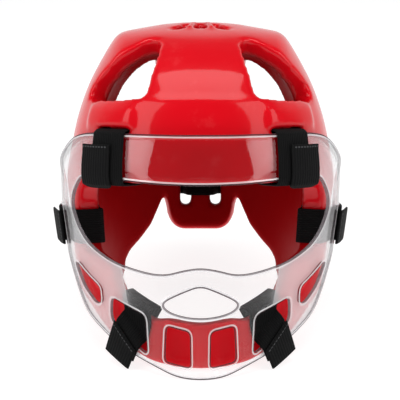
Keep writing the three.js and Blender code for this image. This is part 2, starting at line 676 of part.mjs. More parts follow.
// A strap that runs up and down at one turn, leaning by a few degrees.
function uprightStrap({ turn, shift = 0, level, lean, width, thick, route, loop, hand }) {
  const out = new THREE.Vector3(Math.sin(turn * rad), -Math.cos(turn * rad), 0);
  const back = new THREE.Vector3(Math.cos(turn * rad), Math.sin(turn * rad), 0);
  const up = new THREE.Vector3(0, 0, 1);
  const along = up.clone().multiplyScalar(Math.cos(lean * rad));
  along.addScaledVector(back, -Math.sin(lean * rad));
  const across = back.clone().multiplyScalar(Math.cos(lean * rad));
  across.addScaledVector(up, Math.sin(lean * rad));
  const stations = spread(width);
  const base = (q, s) =>
    new THREE.Vector3(0, 0, level)
      .addScaledVector(back, shift)
      .addScaledVector(along, q)
      .addScaledVector(across, s);
  const reach = (on, q, s) => {
    const foot = base(q, s);
    const rising = (p) => {
      const at = foot.clone().addScaledVector(out, p);
      return Math.hypot(at.x, at.y) - surfaces[on](Math.atan2(at.x, -at.y), at.z);
    };
    return solve(rising, 0, 20, 170);
  };
  const paths = stations.map((s) =>
    route.map((row) => {
      const q = (row.q ?? row.z - level) + (row.skew ?? 0) * s;
      return new THREE.Vector2(reach(row.on, q, s) + row.off, q);
    }),
  );
  return strap(paths, loop, thick, (p, s) => {
    const at = base(p.y, stations[s]).addScaledVector(out, p.x);
    return at.multiply(new THREE.Vector3(hand, 1, 1));
  });
}

// A strap that runs level round the head.
function levelStrap({ level, width, thick, route, hand }) {
  const stations = spread(width);
  const paths = stations.map((s) =>
    route.map((row) => {
      const r = surfaces[row.on](row.turn * rad, level + s) + row.off;
      return new THREE.Vector2(r * Math.sin(row.turn * rad), -r * Math.cos(row.turn * rad));
    }),
  );
  return strap(
    paths,
    false,
    thick,
    (p, s) => new THREE.Vector3(p.x * hand, p.y, level + stations[s]),
  );
}

const pieces = [
  ["foam_shell", helmet, "foam"],
  ["face_shield", shield, "clear"],
];
for (const [side, hand] of [["left", -1], ["right", 1]]) {
  pieces.push([
    "brow_strap_" + side,
    uprightStrap({
      turn: browStrapTurn, level: 0, lean: 0, width: browStrapWidth,
      thick: strapThick, route: browRoute, loop: true, hand,
    }),
    "webbing",
  ]);
  pieces.push([
    "brow_tab_" + side,
    uprightStrap({
      turn: browTabTurn, level: 0, lean: 0, width: browTabWidth,
      thick: tabThick, route: browTabRoute, loop: false, hand,
    }),
    "webbing",
  ]);
  pieces.push([
    "cheek_strap_" + side,
    levelStrap({
      level: cheekStrapLevel, width: cheekStrapWidth,
      thick: strapThick, route: cheekRoute, hand,
    }),
    "webbing",
  ]);
  pieces.push([
    "cheek_tab_" + side,
    levelStrap({
      level: cheekTabLevel, width: cheekStrapWidth,
      thick: tabThick, route: cheekTabRoute, hand,
    }),
    "webbing",
  ]);
  pieces.push([
    "chin_strap_" + side,
    uprightStrap({
      turn: chinStrapTurn, shift: chinStrapShift, level: chinStrapLevel,
      lean: chinStrapLean, width: chinStrapWidth,
      thick: strapThick, route: chinRoute, loop: false, hand,
    }),
    "webbing",
  ]);
  pieces.push([
    "chin_tab_" + side,
    uprightStrap({
      turn: chinStrapTurn, shift: chinStrapShift, level: chinStrapLevel,
      lean: chinStrapLean, width: chinStrapWidth,
      thick: tabThick, route: chinTabRoute, loop: false, hand,
    }),
    "webbing",
  ]);
}
const rearBack = rearRoute
  .slice(0, -1)
  .reverse()
  .map((row) => ({ ...row, turn: 360 - row.turn }));
pieces.push([
  "rear_strap",
  levelStrap({
    level: rearStrapLevel, width: rearStrapWidth,
    thick: strapThick, route: [...rearRoute, ...rearBack], hand: 1,
  }),
  "webbing",
]);

// The floor: the lower hull of the whole, seen from the side, has one edge under the middle.
function pointsOf(solid) {
  const mesh = solid.getMesh();
  const list = [];
  for (let i = 0; i < mesh.numVert; i++)
    list.push(new THREE.Vector3().fromArray(mesh.vertProperties, i * mesh.numProp));
  return list;
}
const everyPoint = pieces.flatMap(([, solid]) => pointsOf(solid));
const sorted = everyPoint.map((p) => [p.y, p.z]).sort((a, b) => a[0] - b[0] || a[1] - b[1]);
const hull = [];
for (const p of sorted) {
  while (hull.length > 1) {
    const [a, b] = hull.slice(-2);
    if ((b[0] - a[0]) * (p[1] - a[1]) - (b[1] - a[1]) * (p[0] - a[0]) > 0) break;
    hull.pop();
  }
  hull.push(p);
}
const balanceY = 10; // the middle of the mass, front to back
const step = Math.max(1, hull.findIndex((p) => p[0] > balanceY));
const tip = Math.atan2(hull[step][1] - hull[step - 1][1], hull[step][0] - hull[step - 1][0]);

const looks = {
  foam: new THREE.MeshStandardMaterial({ color: 0xd8101c, roughness: 0.25, metalness: 0 }),
  clear: new THREE.MeshStandardMaterial({ color: 0xdfe8ee, roughness: 0.08, metalness: 0 }),
  webbing: new THREE.MeshStandardMaterial({ color: 0x121212, roughness: 0.85, metalness: 0 }),
};
const turnToFloor = new THREE.Matrix4().makeRotationX(-tip);
const box = new THREE.Box3().setFromPoints(everyPoint.map((p) => p.clone().applyMatrix4(turnToFloor)));
const toOrigin = new THREE.Matrix4().makeTranslation(
  -(box.min.x + box.max.x) / 2,
  -(box.min.y + box.max.y) / 2,
  -box.min.z,
);
const headgear = new THREE.Group();
headgear.name = "headgear";
for (const [name, solid, look] of pieces) {
  const mesh = solid.getMesh();
  const position = new Float32Array(mesh.numVert * 3);
  for (let i = 0; i < mesh.numVert; i++)
    position.set(mesh.vertProperties.subarray(i * mesh.numProp, i * mesh.numProp + 3), i * 3);
  const geometry = new THREE.BufferGeometry();
  geometry.setAttribute("position", new THREE.BufferAttribute(position, 3));
  geometry.setIndex(new THREE.BufferAttribute(new Uint32Array(mesh.triVerts), 1));
  geometry.applyMatrix4(turnToFloor).applyMatrix4(toOrigin);
  const piece = new THREE.Mesh(geometry, looks[look]);
  piece.name = name;
  headgear.add(piece);
}
export default headgear;
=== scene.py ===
# %% [markdown]
# # A taekwondo headgear with a clear face shield
# This lesson dresses a plain model of a sparring helmet: one thick shell of foam, dipped in
# glossy red vinyl, a clear plastic face shield in front of it, and seven black straps. Each
# piece made here takes the place of one of its pieces, so everything is made from the same
# measurements, in the same place.

# %% The plain model and the tools
import math

import bmesh
import bpy
import numpy as np
from mathutils.geometry import delaunay_2d_cdt, tessellate_polygon
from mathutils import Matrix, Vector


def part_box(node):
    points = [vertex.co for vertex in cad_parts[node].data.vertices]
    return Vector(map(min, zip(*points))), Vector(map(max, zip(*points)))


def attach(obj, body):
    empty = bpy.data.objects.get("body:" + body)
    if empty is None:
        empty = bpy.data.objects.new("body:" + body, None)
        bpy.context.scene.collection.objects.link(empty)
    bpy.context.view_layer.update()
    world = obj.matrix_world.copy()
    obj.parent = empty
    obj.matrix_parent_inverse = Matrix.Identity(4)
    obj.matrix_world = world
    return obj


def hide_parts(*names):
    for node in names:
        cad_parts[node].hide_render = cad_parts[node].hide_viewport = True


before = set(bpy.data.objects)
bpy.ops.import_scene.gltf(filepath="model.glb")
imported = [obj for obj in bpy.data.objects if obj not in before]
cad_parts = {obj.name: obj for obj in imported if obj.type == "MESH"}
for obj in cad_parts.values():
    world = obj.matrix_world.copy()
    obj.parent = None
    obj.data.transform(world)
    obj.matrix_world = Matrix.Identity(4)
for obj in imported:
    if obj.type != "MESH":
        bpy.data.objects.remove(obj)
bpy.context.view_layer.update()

print("plain model:", len(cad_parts), "pieces")

# %% [markdown]
# ## From the head's frame to the floor
# All measurements are millimetres on an upright head: X to the viewer's right, Y to the back,
# Z up, and zero between the ears. Left alone on a table the helmet tips back a little, on to
# the shield's chin and the two tips behind the ears. One turn and one move bring every point
# there, so the tables below stay easy to read.

# %% The turn and the move
tip_back = math.radians(15.6405)
move_back = 6.6383
move_up = 99.0107


def to_floor(points):
    """Millimetres in the head's frame to metres on the floor."""
    p = np.asarray(points, dtype=float)
    y = p[..., 1] * math.cos(tip_back) + p[..., 2] * math.sin(tip_back) + move_back
    z = -p[..., 1] * math.sin(tip_back) + p[..., 2] * math.cos(tip_back) + move_up
    return np.stack([p[..., 0], y, z], axis=-1) / 1000


# %% [markdown]
# ## The foam shell's measurements
# A dipped foam helmet has no flat side, so it is described by sections, like a boat's hull.
# Each row of the table is one section from the jaw to the crown: its reach to the front, side
# and back, its height at the front, side and back, the wall's thickness at the three places,
# and the roof's thickness. A smooth curve through the rows gives every level between them.

# %% Sections, and a point of the shell's outer or inner face
foam_columns = ("front", "side", "back", "zf", "zs", "zb", "wf", "ws", "wb", "roof")
foam_sections = [
    (104, 94, 92, -135, -135, -135, 14, 18, 18, 0),
    (107, 101, 98, -95, -95, -95, 14, 20, 18, 0),
    (109, 107, 105, -60, -60, -60, 15, 22, 18, 0),
    (110, 111, 112, -28, -28, -28, 17, 22.5, 18, 0),
    (112, 113.5, 118, 2, 2, 2, 18, 23, 18, 0),
    (115, 115.5, 122, 26, 22, 26, 19, 23, 18, 0),
    (116, 112, 122, 56, 46, 56, 19, 22, 18, 1),
    (110, 104, 117, 92, 80, 88, 18, 20, 18, 4),
    (94, 90.5, 105, 117, 113, 116, 15, 15, 14, 10),
    (66, 70, 80, 138, 142.5, 138, 9, 9, 9, 15),
    (34, 40, 44, 150, 151.5, 150, 4, 4, 4, 17.5),
    (12, 14, 16, 154, 154.4, 153.8, 1, 1, 1, 18),
]
foam_table = dict(zip(foam_columns, np.array(foam_sections, dtype=float).T))
top_row = len(foam_sections) - 1
outer_roundness = 2.25
inner_roundness = 2.7


def polar(r, turn, z):
    """Points from their distance to the head's axis, turn from the front, and height."""
    return np.stack([r * np.sin(turn), -r * np.cos(turn), z], axis=-1)


def foam_read(column, row):
    """A column of the table at a row with a fraction, on a smooth curve through its values."""
    values = foam_table[column]
    i = np.clip(np.floor(row).astype(int), 0, top_row - 1)
    f = row - i
    a, b, c, d = (values[np.clip(i + k, 0, top_row)] for k in (-1, 0, 1, 2))
    bend = (2 * a - 5 * b + 4 * c - d) * f**2 + (3 * b - a - 3 * c + d) * f**3
    return 0.5 * (2 * b + (c - a) * f + bend)


def foam_point(row, turn, inner=False):
    """A point of the shell at a row and a turn from the front, in radians."""
    row, turn = np.broadcast_arrays(np.asarray(row, float), np.asarray(turn, float))
    s, c = np.sin(turn), np.cos(turn)
    ahead = c >= 0
    side = foam_read("side", row)
    reach = np.where(ahead, foam_read("front", row), foam_read("back", row))
    z = foam_read("zs", row)
    z = z + (np.where(ahead, foam_read("zf", row), foam_read("zb", row)) - z) * c * c
    if inner:
        side = side - foam_read("ws", row)
        reach = reach - np.where(ahead, foam_read("wf", row), foam_read("wb", row))
        z = z - foam_read("roof", row)
    power = inner_roundness if inner else outer_roundness
    r = (np.abs(s / side) ** power + np.abs(c / reach) ** power) ** (-1 / power)
    return polar(r, turn, z)


def solve(rising, target, low, high, rounds=34):
    """The value between low and high at which rising(value) reaches the target."""
    target = np.asarray(target, dtype=float)
    low = np.full(target.shape, float(low))
    high = np.full(target.shape, float(high))
    for _ in range(rounds):
        middle = (low + high) / 2
        below = rising(middle) < target
        low = np.where(below, middle, low)
        high = np.where(below, high, middle)
    return (low + high) / 2


def foam_row(turn, z, inner=False):
    """The row at which the face reaches a height."""
    return solve(lambda row: foam_point(row, turn, inner)[..., 2], z, 0, top_row)


# %% A quick table of the shell's radius by turn and height
table_turns = np.arange(-180, 181)
table_levels = np.arange(-134, 141)


def radius_table(inner):
    turn, z = np.meshgrid(np.radians(table_turns), table_levels.astype(float), indexing="ij")
    p = foam_point(foam_row(turn, z, inner), turn, inner)
    return np.hypot(p[..., 0], p[..., 1])


radius_tables = {False: radius_table(False), True: radius_table(True)}


def foam_radius(turn, z, inner=False):
    """Read between the four nearest entries of the table."""
    a = (np.degrees(turn) + 180) % 360
    b = np.clip(z - table_levels[0], 0, len(table_levels) - 1.001)
    i = np.minimum(a.astype(int), 359)
    j = b.astype(int)
    f, g = a - i, b - j
    t = radius_tables[inner]
    low = t[i, j] * (1 - f) + t[i + 1, j] * f
    high = t[i, j + 1] * (1 - f) + t[i + 1, j + 1] * f
    return low * (1 - g) + high * g


print("widest:", round(2 * float(radius_tables[False][270].max()), 1), "mm across")

# %% [markdown]
# ## Low relief on the shell
# The mould leaves raised places in the dipped skin: two rounded pads on the forehead, a step
# where the middle strip runs into the forehead band, and ribs between the slots of the crown.
# They could be separate pieces, but on the real helmet they are one skin, so here they lift
# the points of the outer face along its normal, by a smooth height.

# %% Heights of the relief
pad_height = 3.0
pad_turns = (27.5, 54.5)
pad_levels = (66.5, 84.5)
step_height = 1.7
step_top = 91.5
step_foot = 58
step_turn = 33
rib_height = 2.2
rib_width = 5.0
crown_ribs = [(-9.8, -41, -5.4, -16), (9.8, -41, 5.4, -16)]
shoulder_height = 1.8
shoulder_side = 69
shoulder_foot = 112


def smooth(x):
    x = np.clip(x, 0, 1)
    return x * x * (3 - 2 * x)


def plateau(value, low, high, slope):
    """One between low and high, falling to zero outside them over the slope."""
    return smooth((value - low) / slope + 0.5) * smooth((high - value) / slope + 0.5)


def relief(x, y, z):
    turn = np.abs(np.degrees(np.arctan2(x, -y)))
    pads = pad_height * plateau(turn, *pad_turns, slope=3.2) * plateau(z, *pad_levels, slope=6)
    band = smooth((step_top - z) / 3 + 0.5) * smooth((z - step_foot) / 26)
    band = step_height * band * smooth((step_turn - turn) / 16 + 0.5)
    ribs = np.zeros_like(x)
    for x1, y1, x2, y2 in crown_ribs:
        length = math.hypot(x2 - x1, y2 - y1)
        ux, uy = (x2 - x1) / length, (y2 - y1) / length
        for back in (1, -1):
            along = (x - x1) * ux + (y * back - y1) * uy
            off = np.abs((y * back - y1) * ux - (x - x1) * uy)
            bump = smooth((rib_width / 2 + 0.8 - off) / 2.2) * plateau(along, 0.5, length - 0.5, 5)
            ribs = np.maximum(ribs, bump)
    shoulder = shoulder_height * np.exp(-(((np.abs(x) - shoulder_side) / 8) ** 2))
    shoulder = shoulder * smooth((z - shoulder_foot) / 20)
    return pads + band + shoulder + rib_height * ribs * (z > 100)


# %% [markdown]
# ## The shell before it is cut
# The shell is a bowl with a real hollow. Rings run up the inner face, round the lower rim and
# up the outer face, and each ring's points join the next ring's. A fine mesh, about 2.5 mm
# apart, holds the relief and gives clean reflections, which matters most on a glossy skin.

# %% The lower rim, and the rings of the shell
foam_rim = [
    (0, -129.8), (12, -128.4), (23, -124.3), (36, -114), (48, -102), (60, -87), (72, -79),
    (90, -79), (108, -83), (120, -87), (126, -87.5), (129, -84), (131.5, -74), (134.5, -62),
    (139, -54), (146.5, -44), (153, -32), (157, -19), (160, -8), (161.5, -3.5), (162.4, -5),
    (163, -20), (164.5, -29), (167, -34), (170, -36), (180, -36),
]
rim_round = 5.0
foam_turns = np.radians(np.arange(-180, 180, 1.25))
foam_rows_up = 112


def rim_level(turn):
    table = np.array(foam_rim)
    return np.interp(np.abs(np.degrees(turn)), table[:, 0], table[:, 1])


def face_rings(inner):
    start = foam_row(foam_turns, rim_level(foam_turns) + rim_round, inner)
    share = np.linspace(0, 1, foam_rows_up)[:, None]
    return foam_point(start + (top_row - start) * share, foam_turns, inner)


def rim_rings():
    """Half a turn of rounding from the inner face down to the rim and up to the outer face."""
    rings = []
    for angle in np.radians(np.arange(18, 180, 18)):
        z = rim_level(foam_turns) + rim_round * (1 - math.sin(angle))
        share = 0.5 + 0.5 * math.cos(angle)
        outer, inner = foam_radius(foam_turns, z), foam_radius(foam_turns, z, True)
        r = outer + (inner - outer) * share
        rings.append(polar(r, foam_turns, z))
    return np.array(rings)


def lifted(rings):
    """The outer face with its relief: every point moves along the face's own normal."""
    around = np.roll(rings, -1, axis=1) - np.roll(rings, 1, axis=1)
    up = np.gradient(rings, axis=0)
    normal = np.cross(around, up)
    normal /= np.linalg.norm(normal, axis=-1, keepdims=True) + 1e-9
    return rings + normal * relief(rings[..., 0], rings[..., 1], rings[..., 2])[..., None]


rings = np.concatenate([face_rings(True)[::-1], rim_rings(), lifted(face_rings(False))])
print("shell rings:", rings.shape[0], "of", rings.shape[1], "points")


# %% Mesh helpers
def new_object(name, data):
    obj = bpy.data.objects.new(name, data)
    bpy.context.collection.objects.link(obj)
    return obj


def mesh_object(name, points, faces, weave=None):
    """A new object from points in the head's frame, with its faces turned outwards. `weave` is a
    flat map, with two numbers for each corner of each face."""
    mesh = bpy.data.meshes.new(name)
    mesh.from_pydata(to_floor(points).tolist(), [], faces)
    if weave is not None:
        mesh.uv_layers.new(name="weave").data.foreach_set("uv", weave.ravel())
    made = bmesh.new()
    made.from_mesh(mesh)
    bmesh.ops.recalc_face_normals(made, faces=made.faces)
    made.to_mesh(mesh)
    made.free()
    return new_object(name, mesh)


def shade_smooth(obj):
    obj.data.polygons.foreach_set("use_smooth", [True] * len(obj.data.polygons))
    obj.data.update()


def tube_faces(count, around, start=0):
    """Quads between one ring of points and the next."""
    faces = []
    for low in range(start, start + (count - 1) * around, around):
        for j in range(around):
            a, b = low + j, low + (j + 1) % around
            faces.append((a, b, b + around, a + around))
    return faces


def run_along(line):
    """The length along a line at each of its points."""
    return np.concatenate([[0], np.cumsum(np.linalg.norm(np.diff(line, axis=0), axis=1))])


def settle(obj):
    """Turns the object's modifiers into plain mesh."""
    view = bpy.context.evaluated_depsgraph_get()
    made = bpy.data.meshes.new_from_object(obj.evaluated_get(view))
    old = obj.data
    obj.modifiers.clear()
    obj.data = made
    bpy.data.meshes.remove(old)


# %% The shell's mesh, closed at the top by a fan to one point on each face
tip_back_by = 2
tip_rise = 0.2
crown_level = foam_table["zs"][-1]
tips = [
    (0, tip_back_by, crown_level - foam_table["roof"][-1] + tip_rise),
    (0, tip_back_by, crown_level + tip_rise),
]
count, around = rings.shape[:2]
inner_tip = count * around
last_ring = inner_tip - around
shell_faces = tube_faces(count, around)
for j in range(around):
    k = (j + 1) % around
    shell_faces += [(inner_tip, k, j), (inner_tip + 1, last_ring + j, last_ring + k)]
shell_points = np.concatenate([rings.reshape(-1, 3), np.array(tips)])
foam_shell = mesh_object("foam_shell_dipped", shell_points, shell_faces)
print("uncut shell:", len(foam_shell.data.polygons), "faces")

# %% [markdown]
# ## Openings
# Every opening of a foam helmet is cut before the dip, so the vinyl flows round its edges. The
# openings are made as plugs: an outline, softened at its corners, is repeated on sheets one
# behind the other and closed at both ends. Blender's Boolean modifier takes them out of the
# shell. Then a voxel remesh and a little smoothing round off every edge, as the dip does.

# %% Outlines of the openings
face_opening = [
    (0, 22), (20, 22.3), (40, 22.6), (53, 22), (58, 15), (61.2, 5), (62.4, -1), (62.3, -34),
    (57, -38), (49, -40.5), (42.5, -46), (39.5, -57), (35.5, -71.5), (28.5, -80.7),
    (21.5, -89.8), (15, -87.5), (7, -90.5), (0, -92),
]
front_vent = [
    (55.8, 27.4), (35.2, 26.9), (22.1, 27.2), (21.7, 39), (21.9, 45), (24.1, 52.3),
    (26.8, 54.3), (29.9, 54.7), (33.6, 53.8), (42.2, 48.2), (48, 44.1), (54.4, 39.1),
    (59.4, 33.7), (60, 30),
]
rear_vent = [
    (62, 22), (40, 24), (18, 25), (22, 36), (29, 47), (33.5, 52.5), (40, 50.5), (48, 45),
    (55, 38), (60, 30),
]
crown_slots = [
    ((-26.5, -41.5), (-12.5, -36.5), (-7.8, -19), (-13, -20)),
    ((-6.3, -37.5), (6.3, -37.5), (3.6, -18.5), (-3.6, -18.5)),
    ((12.5, -36.5), (26.5, -41.5), (13, -20), (7.8, -19)),
]
vent_hub = np.array([0.0, 8.0, 30.0])
corner_reach = {"face": 9, "vent": 3.2, "back": 3.5, "brow": 2, "crown": 2.5}
ear_hole = {"y": 8, "z": 2, "wide": 30, "tall": 42}
rear_slot = {"x": 14, "wide": 10, "low": -13.4, "high": 29}
brow_slot = {"turn": 37.5, "wide": 36, "level": 64.6, "tall": 4.8}


def softened(outline, reach, steps=5):
    """A closed outline with each corner turned into a curve that starts `reach` before it."""
    points = np.array(outline, dtype=float)
    soft = []
    for i in range(len(points)):
        corner = points[i]
        pair = []
        for other in (points[i - 1], points[(i + 1) % len(points)]):
            away = other - corner
            length = np.linalg.norm(away)
            pair.append(corner + away * min(reach / max(length, 1e-9), 0.48))
        for t in np.linspace(0, 1, steps):
            soft.append((1 - t) ** 2 * pair[0] + 2 * t * (1 - t) * corner + t * t * pair[1])
    return np.array(soft)


def both_halves(outline):
    return outline + [(-a, b) for a, b in reversed(outline) if a != 0]


def plug(sheets, flat):
    """A closed plug from copies of one outline; the flat copy shows how to close its ends."""
    end = (len(sheets) - 1) * len(flat)
    faces = tube_faces(len(sheets), len(flat))
    for tri in tessellate_polygon([[(p[0], p[1], 0) for p in flat]]):
        faces.append(tuple(tri))
        faces.append(tuple(i + end for i in reversed(tri)))
    return mesh_object("plug", np.concatenate(sheets), faces)


# %% The plugs, and how far from the head's middle each starts and ends
face_depths = (-15, -240)
vent_reach = (60, 90, 120, 190)
ear_reach = (50, 140)
back_reach = (70, 150)
brow_reach = (72, 140)
crown_reach = (crown_level - 60, crown_level + 20)
x_axis, y_axis, z_axis = np.eye(3)


def face_plug():
    """Sheets at the two depths, and two that follow the shell's bend."""
    outline = softened(both_halves(face_opening), corner_reach["face"])
    turn, z = np.radians(outline[:, 0]), outline[:, 1]
    r = foam_radius(turn, z)
    y = -r * np.cos(turn)
    shares = (face_depths[0] / y, 0.8, 1.0, face_depths[1] / y)
    sheets = [polar(r * share, turn, z) for share in shares]
    return plug(sheets, sheets[3][:, [0, 2]])


def vent_plug(outline, hand, face):
    """A plug that widens from a hub in the middle of the head."""
    soft = softened(outline, corner_reach["vent"])
    turn, rise = np.radians(soft[:, 0]), np.radians(soft[:, 1])
    way = [hand * np.sin(turn) * np.cos(rise), -face * np.cos(turn) * np.cos(rise), np.sin(rise)]
    return plug([vent_hub + np.stack(way, axis=-1) * length for length in vent_reach], soft)


def prism(outline, across, up, way, reach):
    """A straight plug: two directions carry its outline, the third leads through the wall."""
    flat = np.array(outline, dtype=float)
    drawn = flat[:, :1] * across + flat[:, 1:] * up
    return plug([drawn + way * end for end in reach], flat)


def ear_plug(hand):
    angle = np.radians(np.arange(0, 360, 7.5))
    y = ear_hole["y"] + ear_hole["wide"] / 2 * np.cos(angle)
    z = ear_hole["z"] + ear_hole["tall"] / 2 * np.sin(angle)
    return prism(np.stack([y, z], axis=-1), y_axis, z_axis, hand * x_axis, ear_reach)


def rectangle(x, z, wide, tall):
    half, high = wide / 2, tall / 2
    return [(x - half, z - high), (x + half, z - high), (x + half, z + high), (x - half, z + high)]


def back_slot_plug(hand):
    middle = (rear_slot["low"] + rear_slot["high"]) / 2
    tall = rear_slot["high"] - rear_slot["low"]
    corners = rectangle(hand * rear_slot["x"], middle, rear_slot["wide"], tall)
    outline = softened(corners, corner_reach["back"])
    return prism(outline, x_axis, z_axis, y_axis, back_reach)


def brow_slot_plug(hand):
    turn = math.radians(brow_slot["turn"])
    corners = rectangle(0, brow_slot["level"], brow_slot["wide"], brow_slot["tall"])
    outline = softened(corners, corner_reach["brow"])
    across = hand * math.cos(turn) * x_axis + math.sin(turn) * y_axis
    way = hand * math.sin(turn) * x_axis - math.cos(turn) * y_axis
    return prism(outline, across, z_axis, way, brow_reach)


# %% Cutting, and the rounding of the edges
def cut(obj, plugs):
    """Takes the plugs out of the object, all in one go."""
    joined = bmesh.new()
    for tool in plugs:
        joined.from_mesh(tool.data)
        bpy.data.meshes.remove(tool.data)
    mesh = bpy.data.meshes.new("cut_all")
    joined.to_mesh(mesh)
    joined.free()
    change = obj.modifiers.new("cut", "BOOLEAN")
    change.operation = "DIFFERENCE"
    change.solver = "EXACT"
    change.object = new_object("cut_all", mesh)
    settle(obj)
    bpy.data.meshes.remove(mesh)


wide_plugs = [face_plug()]
narrow_plugs = []
for hand in (1, -1):
    wide_plugs += [vent_plug(front_vent, hand, 1), vent_plug(rear_vent, hand, -1)]
    wide_plugs += [ear_plug(hand), back_slot_plug(hand)]
    narrow_plugs.append(brow_slot_plug(hand))
for back in (1, -1):
    for slot_corners in crown_slots:
        outline = softened([(x, y * back) for x, y in slot_corners], corner_reach["crown"])
        narrow_plugs.append(prism(outline, x_axis, y_axis, z_axis, crown_reach))
cut(foam_shell, wide_plugs)
cut(foam_shell, narrow_plugs)
print("cut shell:", len(foam_shell.data.polygons), "faces")

skin_voxel = 0.0021
remesh = foam_shell.modifiers.new("skin", "REMESH")
remesh.mode = "VOXEL"
remesh.voxel_size = skin_voxel
flow = foam_shell.modifiers.new("flow", "SMOOTH")
flow.factor = 0.5
flow.iterations = 10
settle(foam_shell)
shade_smooth(foam_shell)


def mark_inside(obj):
    """How far each point's face looks in at the head, from 0 to 1; the finish darkens the red
    there as painted shade.
    """
    size = len(obj.data.vertices)
    flat = np.zeros(size * 3)
    obj.data.vertices.foreach_get("co", flat)
    normal = np.zeros(size * 3)
    obj.data.vertex_normals.foreach_get("vector", normal)
    middle = to_floor([0, 0, 40])
    out = flat.reshape(-1, 3) - middle
    out /= np.linalg.norm(out, axis=1, keepdims=True)
    inward_painted_shade = -np.sum(out * normal.reshape(-1, 3), axis=1)
    layer = obj.data.attributes.new("inside", "FLOAT", "POINT")
    layer.data.foreach_set("value", smooth((inward_painted_shade + 0.1) / 0.6).astype(np.float32))


mark_inside(foam_shell)
print("dipped shell:", len(foam_shell.data.polygons), "faces")

# %% [markdown]
# ## The clear face shield
# The shield is one sheet of polycarbonate, about 2.3 mm thick, bent round the face, with a wide
# eye port, a breathing hole and rows of windows. It could be bent from a flat grid, but its
# openings would have ragged edges. Instead its outlines are drawn flat, in turn and height,
# filled with triangles that keep to them, and then laid on the bent surface. Each edge gets a
# rounded rim, because a clear sheet shows itself mostly by its bright edges.

# %% The bent surface
shield_wall = 2.3
shield_centre = -10
shield_sections = np.array([
    (-140, 92, 117), (-120, 98, 118), (-88, 106, 119), (-50, 113, 120),
    (0, 120, 122), (36, 121, 123), (47, 118.6, 123), (66, 114, 122),
], dtype=float)
flat_scale = 2.05  # millimetres of sheet to one degree of turn


shield_levels = np.arange(-170, 100.0)
ease = np.hanning(21)
ease /= ease.sum()


def eased(column):
    """A column of the table by level, with its corners eased."""
    straight = np.interp(shield_levels, shield_sections[:, 0], shield_sections[:, column])
    return np.convolve(np.pad(straight, 10, mode="edge"), ease, mode="valid")


shield_sides, shield_fronts = eased(1), eased(2)


def shield_reach(z):
    side = np.interp(z, shield_levels, shield_sides)
    front = np.interp(z, shield_levels, shield_fronts) + shield_centre
    return side, front


def shield_point(angle, z, off=0.0):
    side, front = shield_reach(z)
    s, c = np.sin(angle), np.cos(angle)
    nx, ny = s / side, -c / front
    length = np.hypot(nx, ny)
    x = side * s + off * nx / length
    y = shield_centre - front * c + off * ny / length
    return np.stack([x, y, z + 0 * x], axis=-1)


def shield_radius(turn, z):
    side, front = shield_reach(z)
    s, c = np.sin(turn) / side, np.cos(turn) / front
    a = s * s + c * c
    b = 2 * np.cos(turn) * shield_centre / front**2
    d = (shield_centre / front) ** 2 - 1
    return (-b + np.sqrt(b * b - 4 * a * d)) / (2 * a)


# %% The shield's outlines
shield_edge = [
    (0, -135, 61.4), (12, -133, 61.4), (23, -124.5, 61.7), (36, -115, 61.9), (48, -104.5, 62),
    (54, -98, 61.4), (62, -90, 59.3), (68, -78, 55), (74, -60, 48.8), (78, -49, 44.5),
    (83, -41, 39.5), (90, -35, 32), (95, -28, 25), (98, -17, 16), (99.5, -6, 6),
]
eye_port = [
    (0, 22), (16, 23), (31, 25.3), (45, 26.9), (54, 27), (58, 20.3), (61.5, 12), (63, 5),
    (62.8, -3), (60, -14.6), (56.5, -22.6), (52, -29.8), (45, -36.8), (37.5, -42.9),
    (28.5, -47.3), (20, -50.5), (13.7, -50.6), (7, -46.8), (0, -44.6),
]
breath_hole = [
    (0, -58.2), (7.5, -64), (14.1, -69.9), (16.4, -73.5), (16, -77.5), (13, -81.5),
    (7, -84.6), (0, -85.8),
]
chin_window = [(4.4, -95.7), (15.4, -91), (17.5, -121.4), (4.4, -126.3)]
jaw_window = [
    (24.4, -83.9), (40.4, -71.8), (42.4, -73.8), (44, -90), (41.4, -95.5), (25.4, -117),
]
cheek_window = [
    (48, -64.5), (63, -48.5), (66, -46.6), (68.2, -49), (62.2, -66.6), (53.3, -79.1),
    (49, -78.5),
]
side_slot = [(77, -35), (82.5, -35), (82.5, -1), (77, -1)]


point_spacing = 1.3


def flat_loop(outline, reach):
    """An outline in millimetres of sheet, softened, with evenly spaced points."""
    points = np.array(outline, dtype=float) * (flat_scale, 1)
    soft = softened(points, reach, 7)
    closed = np.concatenate([soft, soft[:1]])
    run = run_along(closed)
    steps = max(12, int(run[-1] / point_spacing))
    at = np.arange(steps) * run[-1] / steps
    return np.stack([np.interp(at, run, closed[:, k]) for k in (0, 1)], axis=-1)


upper = [(turn, high) for turn, low, high in shield_edge]
lower = [(turn, low) for turn, low, high in shield_edge]
right_edge = upper + lower[::-1]
whole_edge = right_edge + [(-t, z) for t, z in reversed(right_edge) if t > 0]
shield_loops = [flat_loop(whole_edge, 14)]
shield_loops += [flat_loop(both_halves(eye_port), 12), flat_loop(both_halves(breath_hole), 9)]
for outline, reach in ((chin_window, 5), (jaw_window, 6), (cheek_window, 5), (side_slot, 3)):
    shield_loops.append(flat_loop(outline, reach))
    shield_loops.append(flat_loop([(-a, b) for a, b in outline], reach))
print("shield outlines:", [len(loop) for loop in shield_loops])


# %% Filling the sheet with triangles
def inside(points, loop):
    """True for the points that lie inside a closed loop."""
    x, y = points[:, 0], points[:, 1]
    hit = np.zeros(len(points), dtype=bool)
    for a, b in zip(loop, np.roll(loop, -1, axis=0)):
        crosses = (a[1] > y) != (b[1] > y)
        with np.errstate(divide="ignore", invalid="ignore"):
            at = a[0] + (y - a[1]) / (b[1] - a[1]) * (b[0] - a[0])
        hit ^= crosses & (x < at)
    return hit


def in_sheet(points):
    keep = inside(points, shield_loops[0])
    for loop in shield_loops[1:]:
        keep &= ~inside(points, loop)
    return keep


